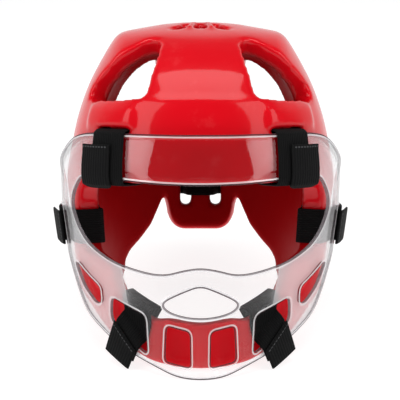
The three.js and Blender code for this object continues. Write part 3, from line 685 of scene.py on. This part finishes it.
def distance_to(points, loops):
    gaps = [np.linalg.norm(points[:, None] - loop, axis=-1).min(axis=1) for loop in loops]
    return np.min(gaps, axis=0)


def loop_normals(loop, outer):
    """The way off the sheet at each point of a loop."""
    along = np.roll(loop, -1, axis=0) - np.roll(loop, 1, axis=0)
    normal = np.stack([along[:, 1], -along[:, 0]], axis=-1)
    normal /= np.linalg.norm(normal, axis=1, keepdims=True)
    area = np.sum(loop[:, 0] * np.roll(loop[:, 1], -1) - np.roll(loop[:, 0], -1) * loop[:, 1])
    return normal * np.sign(area) * (1 if outer else -1)


spacing = 4.0
clearance = 4.4
insets = (0.6, 1.9, 3.4)
columns = np.arange(-206, 207, spacing)
levels = np.arange(-136, 66, spacing * 0.87)
grid_x, grid_y = np.meshgrid(columns, levels)
grid_x = grid_x + (np.arange(len(levels)) % 2)[:, None] * spacing / 2
grid = np.stack([grid_x.ravel(), grid_y.ravel()], axis=-1)
grid = grid[in_sheet(grid)]
grid = grid[distance_to(grid, shield_loops) > clearance]
flat_points = list(shield_loops)
loop_starts = np.concatenate([[0], np.cumsum([len(loop) for loop in shield_loops])])
normals = [loop_normals(loop, i == 0) for i, loop in enumerate(shield_loops)]
for inset in insets:
    for loop, normal in zip(shield_loops, normals):
        ring = loop - normal * inset
        ring = ring[distance_to(ring, shield_loops) > inset * 0.86]
        flat_points.append(ring[in_sheet(ring)])
flat_points = np.concatenate(flat_points + [grid])
edges = []
for start, loop in zip(loop_starts, shield_loops):
    size = len(loop)
    edges += [(int(start + i), int(start + (i + 1) % size)) for i in range(size)]
filled = delaunay_2d_cdt([tuple(p) for p in flat_points.tolist()], edges, [], 0, 1e-5)
sheet_points = np.array([tuple(p) for p in filled[0]])
triangles = np.array([tuple(f) for f in filled[2]])
triangles = triangles[in_sheet(sheet_points[triangles].mean(axis=1))]
new_index = {source: i for i, sources in enumerate(filled[3]) for source in sources}
print("sheet:", len(sheet_points), "points,", len(triangles), "triangles")

# %% Bending the sheet and rounding its rims
lip_height = 0.7
lip_reach = 3.0
lip_slope = 1.6
rim_steps = 5
rim_bulge = 0.55
edge_distance = distance_to(sheet_points, shield_loops)
lip = lip_height * smooth((lip_reach - edge_distance) / lip_slope)
sheet_turn = np.radians(sheet_points[:, 0] / flat_scale)
outer_face = shield_point(sheet_turn, sheet_points[:, 1], lip)
inner_face = shield_point(sheet_turn, sheet_points[:, 1], -shield_wall)
shield_points = [outer_face, inner_face]
shield_faces = [tuple(t) for t in triangles.tolist()]
inner_start = len(sheet_points)
shield_faces += [tuple(inner_start + i for i in reversed(t)) for t in triangles.tolist()]
next_index = 2 * len(sheet_points)
for start, loop, normal in zip(loop_starts, shield_loops, normals):
    size = len(loop)
    outer_ids = [new_index[int(start + i)] for i in range(size)]
    rows = [outer_ids]
    half = (shield_wall + lip_height) / 2
    for k in range(1, rim_steps):
        angle = math.pi * k / rim_steps
        at = loop + normal * half * rim_bulge * math.sin(angle)
        off = lip_height - half + half * math.cos(angle)
        shield_points.append(shield_point(np.radians(at[:, 0] / flat_scale), at[:, 1], off))
        rows.append(list(range(next_index, next_index + size)))
        next_index += size
    rows.append([inner_start + i for i in outer_ids])
    for a, b in zip(rows, rows[1:]):
        shield_faces += [(a[i], a[(i + 1) % size], b[(i + 1) % size], b[i]) for i in range(size)]
face_shield = mesh_object("face_shield_clear", np.concatenate(shield_points), shield_faces)
shade_smooth(face_shield)
print("shield:", len(face_shield.data.polygons), "faces")

# %% Where the sheet is clear, and where its edges are painted bright and dark
# Along each large edge the outer face has a thin line of painted shade, for the cut edge seen
# through the sheet, and a painted highlight beside it, for where the lip catches the light. The
# windows' edges have the painted highlight only. The rounded rims are painted shade all round.
clear_index, painted_highlight_index, painted_shade_index = range(3)
large_loops = 3
painted_shade_reach = 0.9
painted_highlight_reach = 2.2
reach = edge_distance[triangles].max(axis=1)
by_large = distance_to(sheet_points, shield_loops[:large_loops])[triangles].max(axis=1)
painted_shade_ring = (reach < painted_shade_reach) & (by_large < painted_shade_reach)
painted_highlight_ring = (reach > painted_shade_reach) & (reach < painted_highlight_reach)
outer_index = np.where(painted_shade_ring, painted_shade_index, np.where(painted_highlight_ring, painted_highlight_index, clear_index))
finish_index = np.full(len(face_shield.data.polygons), painted_shade_index)
finish_index[: len(triangles)] = outer_index
finish_index[len(triangles) : 2 * len(triangles)] = clear_index
face_shield.data.polygons.foreach_set("material_index", finish_index)
print("dark and bright faces:", int(painted_shade_ring.sum()), int(painted_highlight_ring.sum()))

# %% [markdown]
# ## The webbing straps
# Each strap is a flat band that follows a route over the shield, through a slot and along the
# foam. A curve with a flat profile would do for a simple band, but these lean, cross a bent
# sheet and turn back on themselves. So a route is a short table: a place along it, the surface
# it follows and the distance from that surface. The chin straps need two columns more: how far
# a row slants, and how far it lies to the side. A route is read at several stations across the
# width, its corners are rounded, and then it is given its thickness and soft edges.

# %% Routes
foam = "the foam's outer face"
lining = "the foam's inner face"
shield = "the shield's outer face"
surfaces = {
    foam: foam_radius,
    lining: lambda turn, z: foam_radius(turn, z, True),
    shield: shield_radius,
}
brow_route = [
    (20.9, shield, 0), (25.5, shield, 2.2), (40, shield, 1.8), (56, shield, 1.8),
    (62.8, shield, 1.7), (65, foam, 2.3), (65, foam, -6), (65, lining, 3), (63.8, lining, -2.6),
    (57, lining, -2.2), (40, lining, -2), (25, lining, -2.5), (21.3, lining, -2.2),
    (20.7, lining, 4),
]
brow_tab_route = [
    (53.5, shield, 5.6), (48, shield, 4.7), (37, shield, 4.7), (28, shield, 4.9),
    (21.6, shield, 4), (18.6, shield, -1),
]
cheek_route = [
    (82, lining, -1.8), (76, lining, -1.8), (70, lining, -1.8), (64.5, lining, -2),
    (61.2, lining, -2.2), (60.2, lining, 2), (60.6, lining, 10), (60.8, foam, -6),
    (60.9, foam, 1.4), (65, foam, 1.8), (70, foam, 1.7), (73.5, foam, 1.7), (76.5, shield, 1.7),
    (80, shield, 2.2), (86, shield, 2.4), (92, shield, 3.4),
]
cheek_tab_route = [
    (74.5, shield, 3.1), (80, shield, 4.9), (86, shield, 6.8), (94, shield, 11.5),
]
chin_route = [
    (-20, lining, -1.8, 0, 9), (-8, lining, -1.8, 0, 9), (1.8, lining, -2, 0, 9),
    (4.3, lining, 2, 0, 9), (4.3, foam, -2, 0, 8.5), (0.8, foam, 1.9, 0, 7),
    (-6, foam, 1.8, 0.1, 3), (-14, foam, 2.2, 0.4), (-18, shield, -1.2, 0.4),
    (-22.5, shield, 1.8, 0.4), (-31, shield, 1.8, 0.3), (-40, shield, 1.8),
]
chin_tab_route = [
    (-24, shield, 5, 0.4), (-31, shield, 4.7, 0.3), (-39, shield, 4.8), (-47, shield, 5),
]
rear_half = [(turn, foam, 2) for turn in (120, 129.6, 139.2, 148.8, 158.4, 168)]
rear_half += [
    (171, foam, 2), (172.2, foam, 0.2), (172.7, foam, -8), (173.4, lining, 0.2),
    (175, lining, -2.1), (180, lining, -2),
]
rear_route = rear_half + [(360 - row[0],) + row[1:] for row in reversed(rear_half[:-1])]

# %% From a route to a band
# Stations across half the width as shares of it, with the share of the thickness there.
half_stations = [(0.08, 1), (0.23, 1), (0.38, 1), (0.462, 0.96), (0.488, 0.72), (0.5, 0.3)]
band_stations = np.array([(-x, t) for x, t in reversed(half_stations)] + half_stations)
corner_shares = (0.28, 0.25)
map_scale = 100  # millimetres to one unit of the weave's map


def finer(route, loop, parts=4):
    """More rows between two that follow the same surface, all with five columns."""
    rows = [row + (0,) * (5 - len(row)) for row in route]
    following = rows[1:] + (rows[:1] if loop else [])
    made = []
    for a, b in zip(rows, following):
        n = parts if a[1] == b[1] else 1
        for k in range(n):
            f = k / n
            mix = [a[i] * (1 - f) + b[i] * f for i in (0, 2, 3, 4)]
            made.append((mix[0], a[1], *mix[1:]))
    return made if loop else made + [rows[-1]]


def corner_cut(path, loop, share):
    a, b = path, np.roll(path, -1, axis=0)
    if not loop:
        a, b = path[:-1], path[1:]
    both = np.stack([a * (1 - share) + b * share, a * share + b * (1 - share)], axis=1)
    both = both.reshape((-1,) + path.shape[1:])
    return both if loop else np.concatenate([path[:1], both[1:-1], path[-1:]])


def thickened(path, loop, thick):
    """The band's two faces, off the middle of its route."""
    if loop:
        along = np.roll(path, -1, axis=0) - np.roll(path, 1, axis=0)
    else:
        along = np.gradient(path, axis=0)
    along = along[..., :2]
    along = along / (np.linalg.norm(along, axis=-1, keepdims=True) + 1e-9)
    half = band_stations[:, 1][None, :, None] * thick / 2
    normal = np.stack([-along[..., 1], along[..., 0], 0 * along[..., 0]], axis=-1) * half
    return path + normal, path - normal


def across_width(rows, width, corner, end):
    """Distance off the middle line by row and station. At a rounded last end the band narrows;
    `end` is the millimetres there to one unit of the route's first column."""
    at = np.array([row[0] for row in rows], dtype=float)
    half = np.full(len(rows), width / 2)
    if end:
        d = np.clip(np.abs(at - at[-1]) * end, 0, corner)
        half = np.minimum(half, width / 2 - corner + np.sqrt(corner**2 - (corner - d) ** 2))
    return half[:, None] * 2 * band_stations[:, 0][None, :]


def band_mesh(name, path, thick, place, loop=False):
    """A closed band with a map of millimetres along and across it, for its weave."""
    for share in corner_shares:
        path = corner_cut(path, loop, share)
    sides = thickened(path, loop, thick)
    faces_of = [place(side) for side in sides]
    rings = np.concatenate([faces_of[0], faces_of[1][:, ::-1]], axis=1)
    n, k = rings.shape[:2]
    m = k // 2
    middle = faces_of[0][:, m // 2]
    off = np.concatenate([sides[0][..., 2], sides[1][:, ::-1, 2]], axis=1)
    off = off - off.mean(axis=1, keepdims=True)
    faces = tube_faces(n, k)
    last = (n - 1) * k
    if loop:
        faces += [(last + j, last + (j + 1) % k, (j + 1) % k, j) for j in range(k)]
    else:
        for e in (0, last):
            faces += [(e + j, e + j + 1, e + k - 2 - j, e + k - 1 - j) for j in range(m - 1)]
    corners = np.array(faces)
    along = np.repeat(run_along(middle), k)[corners]
    if loop:
        along[-k:, 2:] = along[-1, 0] + np.linalg.norm(middle[0] - middle[-1])
    weave = np.stack([along, off.ravel()[corners]], axis=-1) / map_scale
    obj = mesh_object(name, rings.reshape(-1, 3), faces, weave)
    shade_smooth(obj)
    return obj, faces_of


# %% A band that runs up and down, and one that runs round the head
def upright_band(name, hand, route, thick, width, turn, level=0, shift=0, lean=0, loop=False,
                 corner=0, end=0):
    """The route's first column is the distance up from the level. A lean tips the band over."""
    t, tilt = math.radians(turn), math.radians(lean)
    out = x_axis * math.sin(t) - y_axis * math.cos(t)
    back = x_axis * math.cos(t) + y_axis * math.sin(t)
    along = z_axis * math.cos(tilt) - back * math.sin(tilt)
    across = back * math.cos(tilt) + z_axis * math.sin(tilt)
    start = z_axis * level + back * shift
    rows = finer(route, loop)
    rise, slant, drift = (np.array([row[i] for row in rows])[:, None] for i in (0, 3, 4))
    s = across_width(rows, width, corner, end)
    q = rise + slant * s
    s = s + drift
    foot = start + q[..., None] * along + s[..., None] * across

    def reach(surface):
        def rising(p):
            at = foot + p[..., None] * out
            turn_there = np.arctan2(at[..., 0], -at[..., 1])
            return np.hypot(at[..., 0], at[..., 1]) - surface(turn_there, at[..., 2])

        return solve(rising, np.zeros(q.shape), low=20, high=170, rounds=26)

    found = {key: reach(surfaces[key]) for key in {row[1] for row in rows}}
    p = np.array([found[row[1]][i] + row[2] for i, row in enumerate(rows)])

    def place(side):
        p, q, s = (side[..., i, None] for i in range(3))
        return (start + q * along + s * across + p * out) * np.array([hand, 1, 1])

    return band_mesh(name, np.stack([p, q, s], axis=-1), thick, place, loop)


def level_band(name, hand, route, thick, width, level, corner=0, end=0):
    """The route's first column is the turn from the front, in degrees."""
    rows = finer(route, False)
    s = across_width(rows, width, corner, end)
    turn = np.radians([row[0] for row in rows])[:, None] + 0 * s
    r = np.array([
        surfaces[row[1]](turn[i], level + s[i]) + row[2] for i, row in enumerate(rows)
    ])

    def place(side):
        return side * np.array([hand, 1, 1]) + level * z_axis

    return band_mesh(name, polar(r, turn, s), thick, place)


# %% The seven straps and their ends
strap_thick = 1.8
tab_thick = 2.2
hands = {"left": -1, "right": 1}
chin_place = {"turn": 34, "level": -81, "shift": -18, "lean": 29}
# For each piece: how it runs, its route, its width, and its place with any rounded end.
plans = {
    "brow_strap": (upright_band, brow_route, 33, {"turn": 37.5, "loop": True}),
    "brow_tab": (upright_band, brow_tab_route, 31, {"turn": 42, "corner": 5, "end": 1.6}),
    "cheek_strap": (level_band, cheek_route, 29, {"level": -17.5}),
    "cheek_tab": (level_band, cheek_tab_route, 29, {"level": -20.7, "corner": 4, "end": 2}),
    "chin_strap": (upright_band, chin_route, 29, chin_place),
    "chin_tab": (upright_band, chin_tab_route, 29, chin_place),
}
bands = {}
for side, hand in hands.items():
    for kind, (make, route, width, plan) in plans.items():
        thick = tab_thick if kind.endswith("tab") else strap_thick
        node = kind + "_" + side
        bands[node] = make(node + "_webbing", hand, route, thick, width, **plan)
bands["rear_strap"] = level_band("rear_strap_webbing", 1, rear_route, strap_thick, 30, 11)
print("bands:", len(bands), "of", [len(b[0].data.polygons) for b in bands.values()][:3], "faces")

# %% [markdown]
# ## Stitches
# The tabs are sewn to their straps with a heavy thread, and the row of stitches is the one
# bright line on the black webbing. Each stitch is a short, fat thread with round ends that
# dips into the cloth, placed on the band's own surface.

# %% Rows of stitches
thread_thick = 0.5
stitch_length = 2.3
stitch_spacing = 3.2
stitch_inset = 1.0
# Each thread's shape: the share along it, and its thickness there.
stitch_shape = ((0, 0.05), (0.08, 0.6), (0.25, 1), (0.75, 1), (0.92, 0.6), (1, 0.05))
stitch_sides = 6
# Which rows of each tab's mesh carry a row of stitches across it.
stitched_rows = {"brow_tab": (3, 5), "cheek_tab": (3,), "chin_tab": (3,)}


def stitch_mesh(name, outer, below, mesh_rows):
    """Stitches across a band on its outer face; `below` is the face under it."""
    points = []
    faces = []
    for row in mesh_rows:
        line = outer[row, 2:-2] + (outer[row, 2:-2] - below[row, 2:-2]) * 0.02
        run = run_along(line)
        outward = outer[row, 5] - below[row, 5]
        outward = outward / np.linalg.norm(outward)
        for at in np.arange(stitch_inset, run[-1] - stitch_inset, stitch_spacing):
            ends_at = [at, min(at + stitch_length, run[-1])]
            a, b = (np.array([np.interp(e, run, line[:, k]) for k in range(3)]) for e in ends_at)
            way = (b - a) / np.linalg.norm(b - a)
            side = np.cross(way, outward)
            start = len(points)
            for share, size in stitch_shape:
                middle = a + (b - a) * share + outward * thread_thick * 0.18 * (size - 0.4)
                for angle in np.radians(np.arange(0, 360, 360 / stitch_sides)):
                    turn = side * math.cos(angle) + outward * math.sin(angle)
                    points.append(middle + turn * size * thread_thick / 2)
            faces += tube_faces(len(stitch_shape), stitch_sides, start)
            faces.append(tuple(range(start, start + stitch_sides)))
            faces.append(tuple(reversed(range(len(points) - stitch_sides, len(points)))))
    obj = mesh_object(name, np.array(points), faces)
    shade_smooth(obj)
    return obj


def outer_first(faces_of):
    """The band's face that looks away from the head first."""
    a, b = faces_of
    mid = (a.shape[0] // 2, a.shape[1] // 2)
    return (a, b) if np.linalg.norm(a[mid]) > np.linalg.norm(b[mid]) else (b, a)


stitches = []
for kind, mesh_rows in stitched_rows.items():
    for side in hands:
        tab = kind + "_" + side
        outer, below = outer_first(bands[tab][1])
        stitches.append(stitch_mesh(tab + "_stitches", outer, below, mesh_rows))
print("stitched tabs:", len(stitches))

# %% [markdown]
# ## Shaders written as arithmetic
# Blender's shader nodes are a drawing. For a lesson it is easier to read them as sums, so a
# small class wraps a socket: adding or multiplying two of them adds the Math node.


# %% A socket with arithmetic
class Wire:
    """A socket that carries a number; sums and products of wires add Math nodes."""

    def __init__(self, paint, socket):
        self.paint = paint
        self.socket = socket

    def math(self, operation, a, b):
        return self.paint.add("ShaderNodeMath", {0: a, 1: b}, operation=operation)

    def __add__(self, other):
        return self.math("ADD", self, other)

    def __radd__(self, other):
        return self.math("ADD", other, self)

    def __rsub__(self, other):
        return self.math("SUBTRACT", other, self)

    def __mul__(self, other):
        return self.math("MULTIPLY", self, other)


class Paint:
    """One shader. `add` makes any node from its type, its sockets and its settings."""

    def __init__(self, owner):
        self.owner = owner
        owner.use_nodes = True
        self.nodes = owner.node_tree.nodes
        self.links = owner.node_tree.links
        self.nodes.clear()

    def add(self, kind, sockets=None, out=0, **settings):
        node = self.nodes.new(kind)
        for key, value in settings.items():
            setattr(node, key, value)
        for key, value in (sockets or {}).items():
            if isinstance(value, Wire):
                self.links.new(value.socket, node.inputs[key])
            else:
                node.inputs[key].default_value = value
        return Wire(self, node.outputs[out])

    def where(self):
        """The point's place on the object, in metres."""
        return self.add("ShaderNodeTexCoord", out=3)

    def axis(self, vector, number):
        return self.add("ShaderNodeSeparateXYZ", {0: vector}, number)

    def mix(self, share, a, b):
        """Colour a turning into colour b."""
        return self.add("ShaderNodeMix", {0: share, 6: a, 7: b}, 2, data_type="RGBA")

    def noise(self, where, scale, detail=2.0, roughness=0.5):
        sockets = {"Vector": where, "Scale": scale, "Detail": detail, "Roughness": roughness}
        return self.add("ShaderNodeTexNoise", sockets)

    def steps(self, value, low, high):
        """Zero below low, one above high."""
        sockets = {"Value": value, "From Min": low, "From Max": high}
        return self.add("ShaderNodeMapRange", sockets, interpolation_type="SMOOTHSTEP")

    def bump(self, height, distance, strength):
        sockets = {"Height": height, "Distance": distance, "Strength": strength}
        return self.add("ShaderNodeBump", sockets)

    def surface(self, sockets):
        return self.add("ShaderNodeBsdfPrincipled", sockets)

    def finish(self, shader, kind="ShaderNodeOutputMaterial"):
        end = self.nodes.new(kind)
        self.links.new(shader.socket, end.inputs["Surface"])
        return self.owner

    def finish_clear(self, share, shine, tint):
        """See-through, with the shine over it by its share."""
        clear = self.add("ShaderNodeBsdfTransparent", {"Color": tint})
        return self.finish(self.add("ShaderNodeMixShader", {0: share, 1: clear, 2: shine}))


def new_finish(name):
    return Paint(bpy.data.materials.new(name))


# %% [markdown]
# ## Dipped vinyl
# The foam is dipped in liquid vinyl and cured, which leaves a thick, very glossy skin. It is
# not a mirror: the foam's grain shows through as slow waves, with a fine orange peel on top.
# The red runs a little deeper where the skin is thick. A coat over a half-glossy base gives
# the sharp and the soft highlight that the real skin shows one over the other. The coat fades
# low down, where less light reaches the skin behind the shield. Where the faces look in at the
# head, the red is darker as painted shade, and the skin there is rougher with less coat.

# %% The red skin
def dipped_vinyl():
    paint = new_finish("dipped_vinyl")
    where = paint.where()
    waves = paint.noise(where, 28)
    peel = paint.noise(where, 420)
    thick = paint.noise(where, 9, 3)
    dust = paint.steps(paint.noise(where, 55, 5, 0.65), 0.56, 0.74)
    inward_painted_shade = paint.add("ShaderNodeAttribute", {}, 2, attribute_name="inside")
    height = paint.steps(paint.axis(where, 2), 0.035, 0.12)
    red = paint.mix(thick, (0.58, 0.001, 0.005, 1), (0.77, 0.003, 0.012, 1))
    red = paint.mix(dust * 0.05, red, (0.95, 0.25, 0.25, 1))
    # Painted shade: the red darkens on faces that look in at the head.
    red = paint.mix(inward_painted_shade, red, (0.36, 0.001, 0.003, 1))
    return paint.finish(paint.surface({
        "Base Color": red,
        "Roughness": 0.3 + dust * 0.08 + peel * 0.06 + inward_painted_shade * 0.22,
        "Normal": paint.bump(waves + peel * 0.05, 0.0011, 0.55),
        "Specular IOR Level": 0.13,
        "Specular Tint": (1, 0.4, 0.42, 1),
        "Coat Weight": (0.1 + height * 0.4) * (1 - inward_painted_shade),
        "Coat Roughness": 0.09,
    }))


# %% [markdown]
# ## Clear polycarbonate
# A clear sheet is seen only by what it reflects and by its edges. Glass with real refraction
# would throw dark shadows on the foam behind it, because light through it is hard to trace.
# So the sheet is a mix: see-through where it faces you, and glossy by its Fresnel share, with
# fine scuffs from use. Low down that share turns to a soft white haze, a painted reflection of
# the bright surroundings.
# A cut edge gathers the light of the whole sheet, so one of its two finishes is a painted
# highlight, bright. The other is dark, painted shade for the line that shows only the shadow
# inside the sheet.

# %% The clear sheet and its edges
def clear_sheet():
    paint = new_finish("clear_polycarbonate")
    where = paint.where()
    scuffs = paint.steps(paint.noise(where, 160, 6, 0.7), 0.55, 0.8)
    height = paint.steps(paint.axis(where, 2), 0.045, 0.13)
    gloss = paint.surface({
        "Base Color": (0.97, 0.97, 0.98, 1),
        # Low down the white base shows as a diffuse haze, a painted reflection.
        "Metallic": 0.15 + height * 0.85,
        "Roughness": 0.04 + scuffs * 0.12,
        "Normal": paint.bump(paint.noise(where, 14), 0.0006, 0.3),
    })
    fresnel = paint.add("ShaderNodeFresnel", {"IOR": 1.58})
    share = fresnel * 0.62 + scuffs * 0.008
    return paint.finish_clear(share, gloss, (0.997, 0.997, 0.998, 1))


def painted_highlight_rim():
    paint = new_finish("clear_polycarbonate_edge")
    # A painted highlight: near white where the edge faces you, greyer at a slant.
    facing = paint.add("ShaderNodeLayerWeight", {"Blend": 0.5}, 1)
    marks = paint.noise(paint.where(), 220, 4, 0.6)
    shine = paint.surface({
        "Base Color": paint.mix(facing, (0.97, 0.95, 0.96, 1), (0.6, 0.58, 0.6, 1)),
        "Metallic": 0.15,
        "Roughness": 0.12 + marks * 0.1,
    })
    return paint.finish_clear(0.55 + facing * 0.35, shine, (0.93, 0.93, 0.95, 1))


def painted_shade_rim():
    paint = new_finish("clear_polycarbonate_dark_edge")
    # Painted shade: a near-black edge, half see-through.
    marks = paint.noise(paint.where(), 300, 3)
    shine = paint.surface({
        "Base Color": paint.mix(marks, (0.035, 0.016, 0.02, 1), (0.09, 0.055, 0.065, 1)),
        "Roughness": 0.3 + marks * 0.15,
        "Specular IOR Level": 0.12,
    })
    return paint.finish_clear(0.5 + marks * 0.3, shine, (0.9, 0.9, 0.92, 1))


# %% [markdown]
# ## Black webbing
# The straps are woven in lengthwise ribs, like elastic tape, with finer cross threads. The
# map that each band carries holds millimetres along and across it, so the ribs follow the
# strap wherever it bends. Fibres on the surface catch light at a grazing angle, which is what
# sheen is for. The colour is darker in the grooves of the weave, painted shade, and greyer on
# its crests, and a little greyer again in worn patches.

# %% The woven straps and their thread
map_turn = 628.3  # radians to one unit of the weave's map, for waves one millimetre long
cross_thread = 0.9


def webbing(name, rib, shade):
    paint = new_finish(name)
    where = paint.where()
    weave = paint.add("ShaderNodeUVMap", uv_map="weave")
    across = paint.axis(weave, 1) * (map_turn / rib)
    along = paint.axis(weave, 0) * (map_turn / cross_thread)
    ribs = paint.add("ShaderNodeMath", {0: across}, operation="SINE")
    threads = paint.add("ShaderNodeMath", {0: along}, operation="SINE")
    fuzz = paint.noise(where, 900, 3, 0.7)
    wear = paint.noise(where, 60, 4, 0.6)
    height = ribs * 0.5 + threads * ribs * 0.22 + fuzz * 0.5
    # The colour follows the weave's height: grooves darker as painted shade, crests greyer, plus
    # wear.
    low = (shade * 0.5, shade * 0.5, shade * 0.55, 1)
    high = (shade * 2.1, shade * 2.1, shade * 2.2, 1)
    return paint.finish(paint.surface({
        "Base Color": paint.mix(paint.steps(height + wear * 0.5, -0.4, 1.1), low, high),
        "Roughness": 0.72 + wear * 0.2,
        "Normal": paint.bump(height, 0.00035, 0.8),
        "Specular IOR Level": 0.12,
        "Sheen Weight": 0.01,
        "Sheen Roughness": 0.5,
    }))


def thread():
    paint = new_finish("sewing_thread")
    twist = paint.noise(paint.where(), 1500)
    return paint.finish(paint.surface({
        "Base Color": paint.mix(twist, (0.03, 0.03, 0.033, 1), (0.09, 0.09, 0.095, 1)),
        "Roughness": 0.55 + twist * 0.1,
        "Normal": paint.bump(twist, 0.0001, 0.5),
    }))


vinyl = dipped_vinyl()
shield_finishes = [clear_sheet(), painted_highlight_rim(), painted_shade_rim()]
strap_cloth = webbing("strap_webbing", 1.9, 0.002)
tab_cloth = webbing("tab_webbing", 2.6, 0.0026)
sewing = thread()
print("finishes:", len(bpy.data.materials))

# %% [markdown]
# ## Each piece in its place
# Every piece now gets its finish, hides the plain piece it stands for, if it has one, and is
# fixed to the one body of the model. Nothing moves here: the straps are soft and have no hinge.
# The shell is firm foam all through.


# %% Dressing the model
def dress(obj, materials, slot_name, *nodes):
    for material in materials:
        obj.data.materials.append(material)
    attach(obj, "root")
    if nodes:
        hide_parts(*nodes)


dress(foam_shell, [vinyl], "dipped_foam", "foam_shell")
dress(face_shield, shield_finishes, "clear_shield", "face_shield")
for node, (band, faces_of) in bands.items():
    dress(band, [tab_cloth if "_tab_" in node else strap_cloth], "webbing", node)
for row in stitches:
    dress(row, [sewing], "webbing")
for node in ("foam_shell", "face_shield", "rear_strap"):
    low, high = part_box(node)
    print(node, "plain:", [round(v, 4) for v in (*low, *high)])

# %% [markdown]
# ## Floor, light and camera
# The headgear stands on a plain pale floor under soft light, as for a shop's picture. The
# camera is far off with a long lens, 5 degrees above the level of the face. The helmet is tipped
# back, so from the floor the camera looks down at it by that much more.

# %% The floor
floor_reach = 8
floor_mesh = bpy.data.meshes.new("floor")
drawn = bmesh.new()
bmesh.ops.create_grid(drawn, x_segments=2, y_segments=2, size=floor_reach)
drawn.to_mesh(floor_mesh)
drawn.free()
floor = new_object("floor", floor_mesh)
paint = new_finish("pale_floor")
shade = paint.noise(paint.where(), 3)
floor.data.materials.append(paint.finish(paint.surface({
    "Base Color": paint.mix(shade, (0.27, 0.27, 0.27, 1), (0.29, 0.29, 0.29, 1)),
    "Roughness": 0.9,
    "Emission Color": (1, 1, 1, 1),
    "Emission Strength": 0.84,
})))
print("floor:", 2 * floor_reach, "m square")

# %% The lights: place, size and power of each
softboxes = {
    "softbox_left": ((-1.3, -0.9, 0.9), (1.0, 1.4), 12.5),
    "softbox_right": ((1.3, -0.9, 0.9), (1.0, 1.4), 11.5),
    "softbox_top": ((0, -0.25, 1.6), (1.5, 0.8), 15),
}
light_target = np.array([0, 0, 0.12])
for name, (place, size, power) in softboxes.items():
    light = bpy.data.lights.new(name, "AREA")
    light.shape = "RECTANGLE"
    light.size, light.size_y = size
    light.energy = power
    lamp = new_object(name, light)
    lamp.location = place
    way = light_target - np.array(place)
    flat = math.hypot(way[0], way[1])
    lamp.rotation_euler = (math.atan2(flat, -way[2]), 0, math.atan2(-way[0], way[1]))
studio = Paint(bpy.data.worlds.new("studio"))
way = studio.add("ShaderNodeTexCoord")
back_share = studio.steps(studio.axis(way, 1), -0.1, 0.5)
low_share = 1 - studio.steps(studio.axis(way, 2), 0.35, 0.75)
backdrop = studio.add("ShaderNodeBackground", {
    "Color": (1, 1, 1, 1),
    "Strength": 0.1 + back_share * low_share * 0.8,
})
bpy.context.scene.world = studio.finish(backdrop, "ShaderNodeOutputWorld")
bpy.context.scene.view_settings.view_transform = "Standard"
print("lights:", len(softboxes), "softboxes and the studio")

# %% The camera
camera_distance = 1.3
camera_rise = tip_back + math.radians(5)
picture_width = 400
focal_length = 1486  # in pixels of a picture that wide
sensor_width = 36
head_middle = to_floor([0, 0, 0])
lens = bpy.data.cameras.new("camera")
lens.lens = focal_length * sensor_width / picture_width
lens.sensor_width = sensor_width
lens.shift_x = -0.5 / picture_width
camera = new_object("camera", lens)
camera.location = (
    0,
    float(head_middle[1]) - camera_distance * math.cos(camera_rise),
    float(head_middle[2]) + camera_distance * math.sin(camera_rise),
)
camera.rotation_euler = (math.pi / 2 - camera_rise, 0, 0)
bpy.context.scene.camera = camera
print("camera:", round(math.degrees(camera_rise), 1), "degrees above the floor's level")
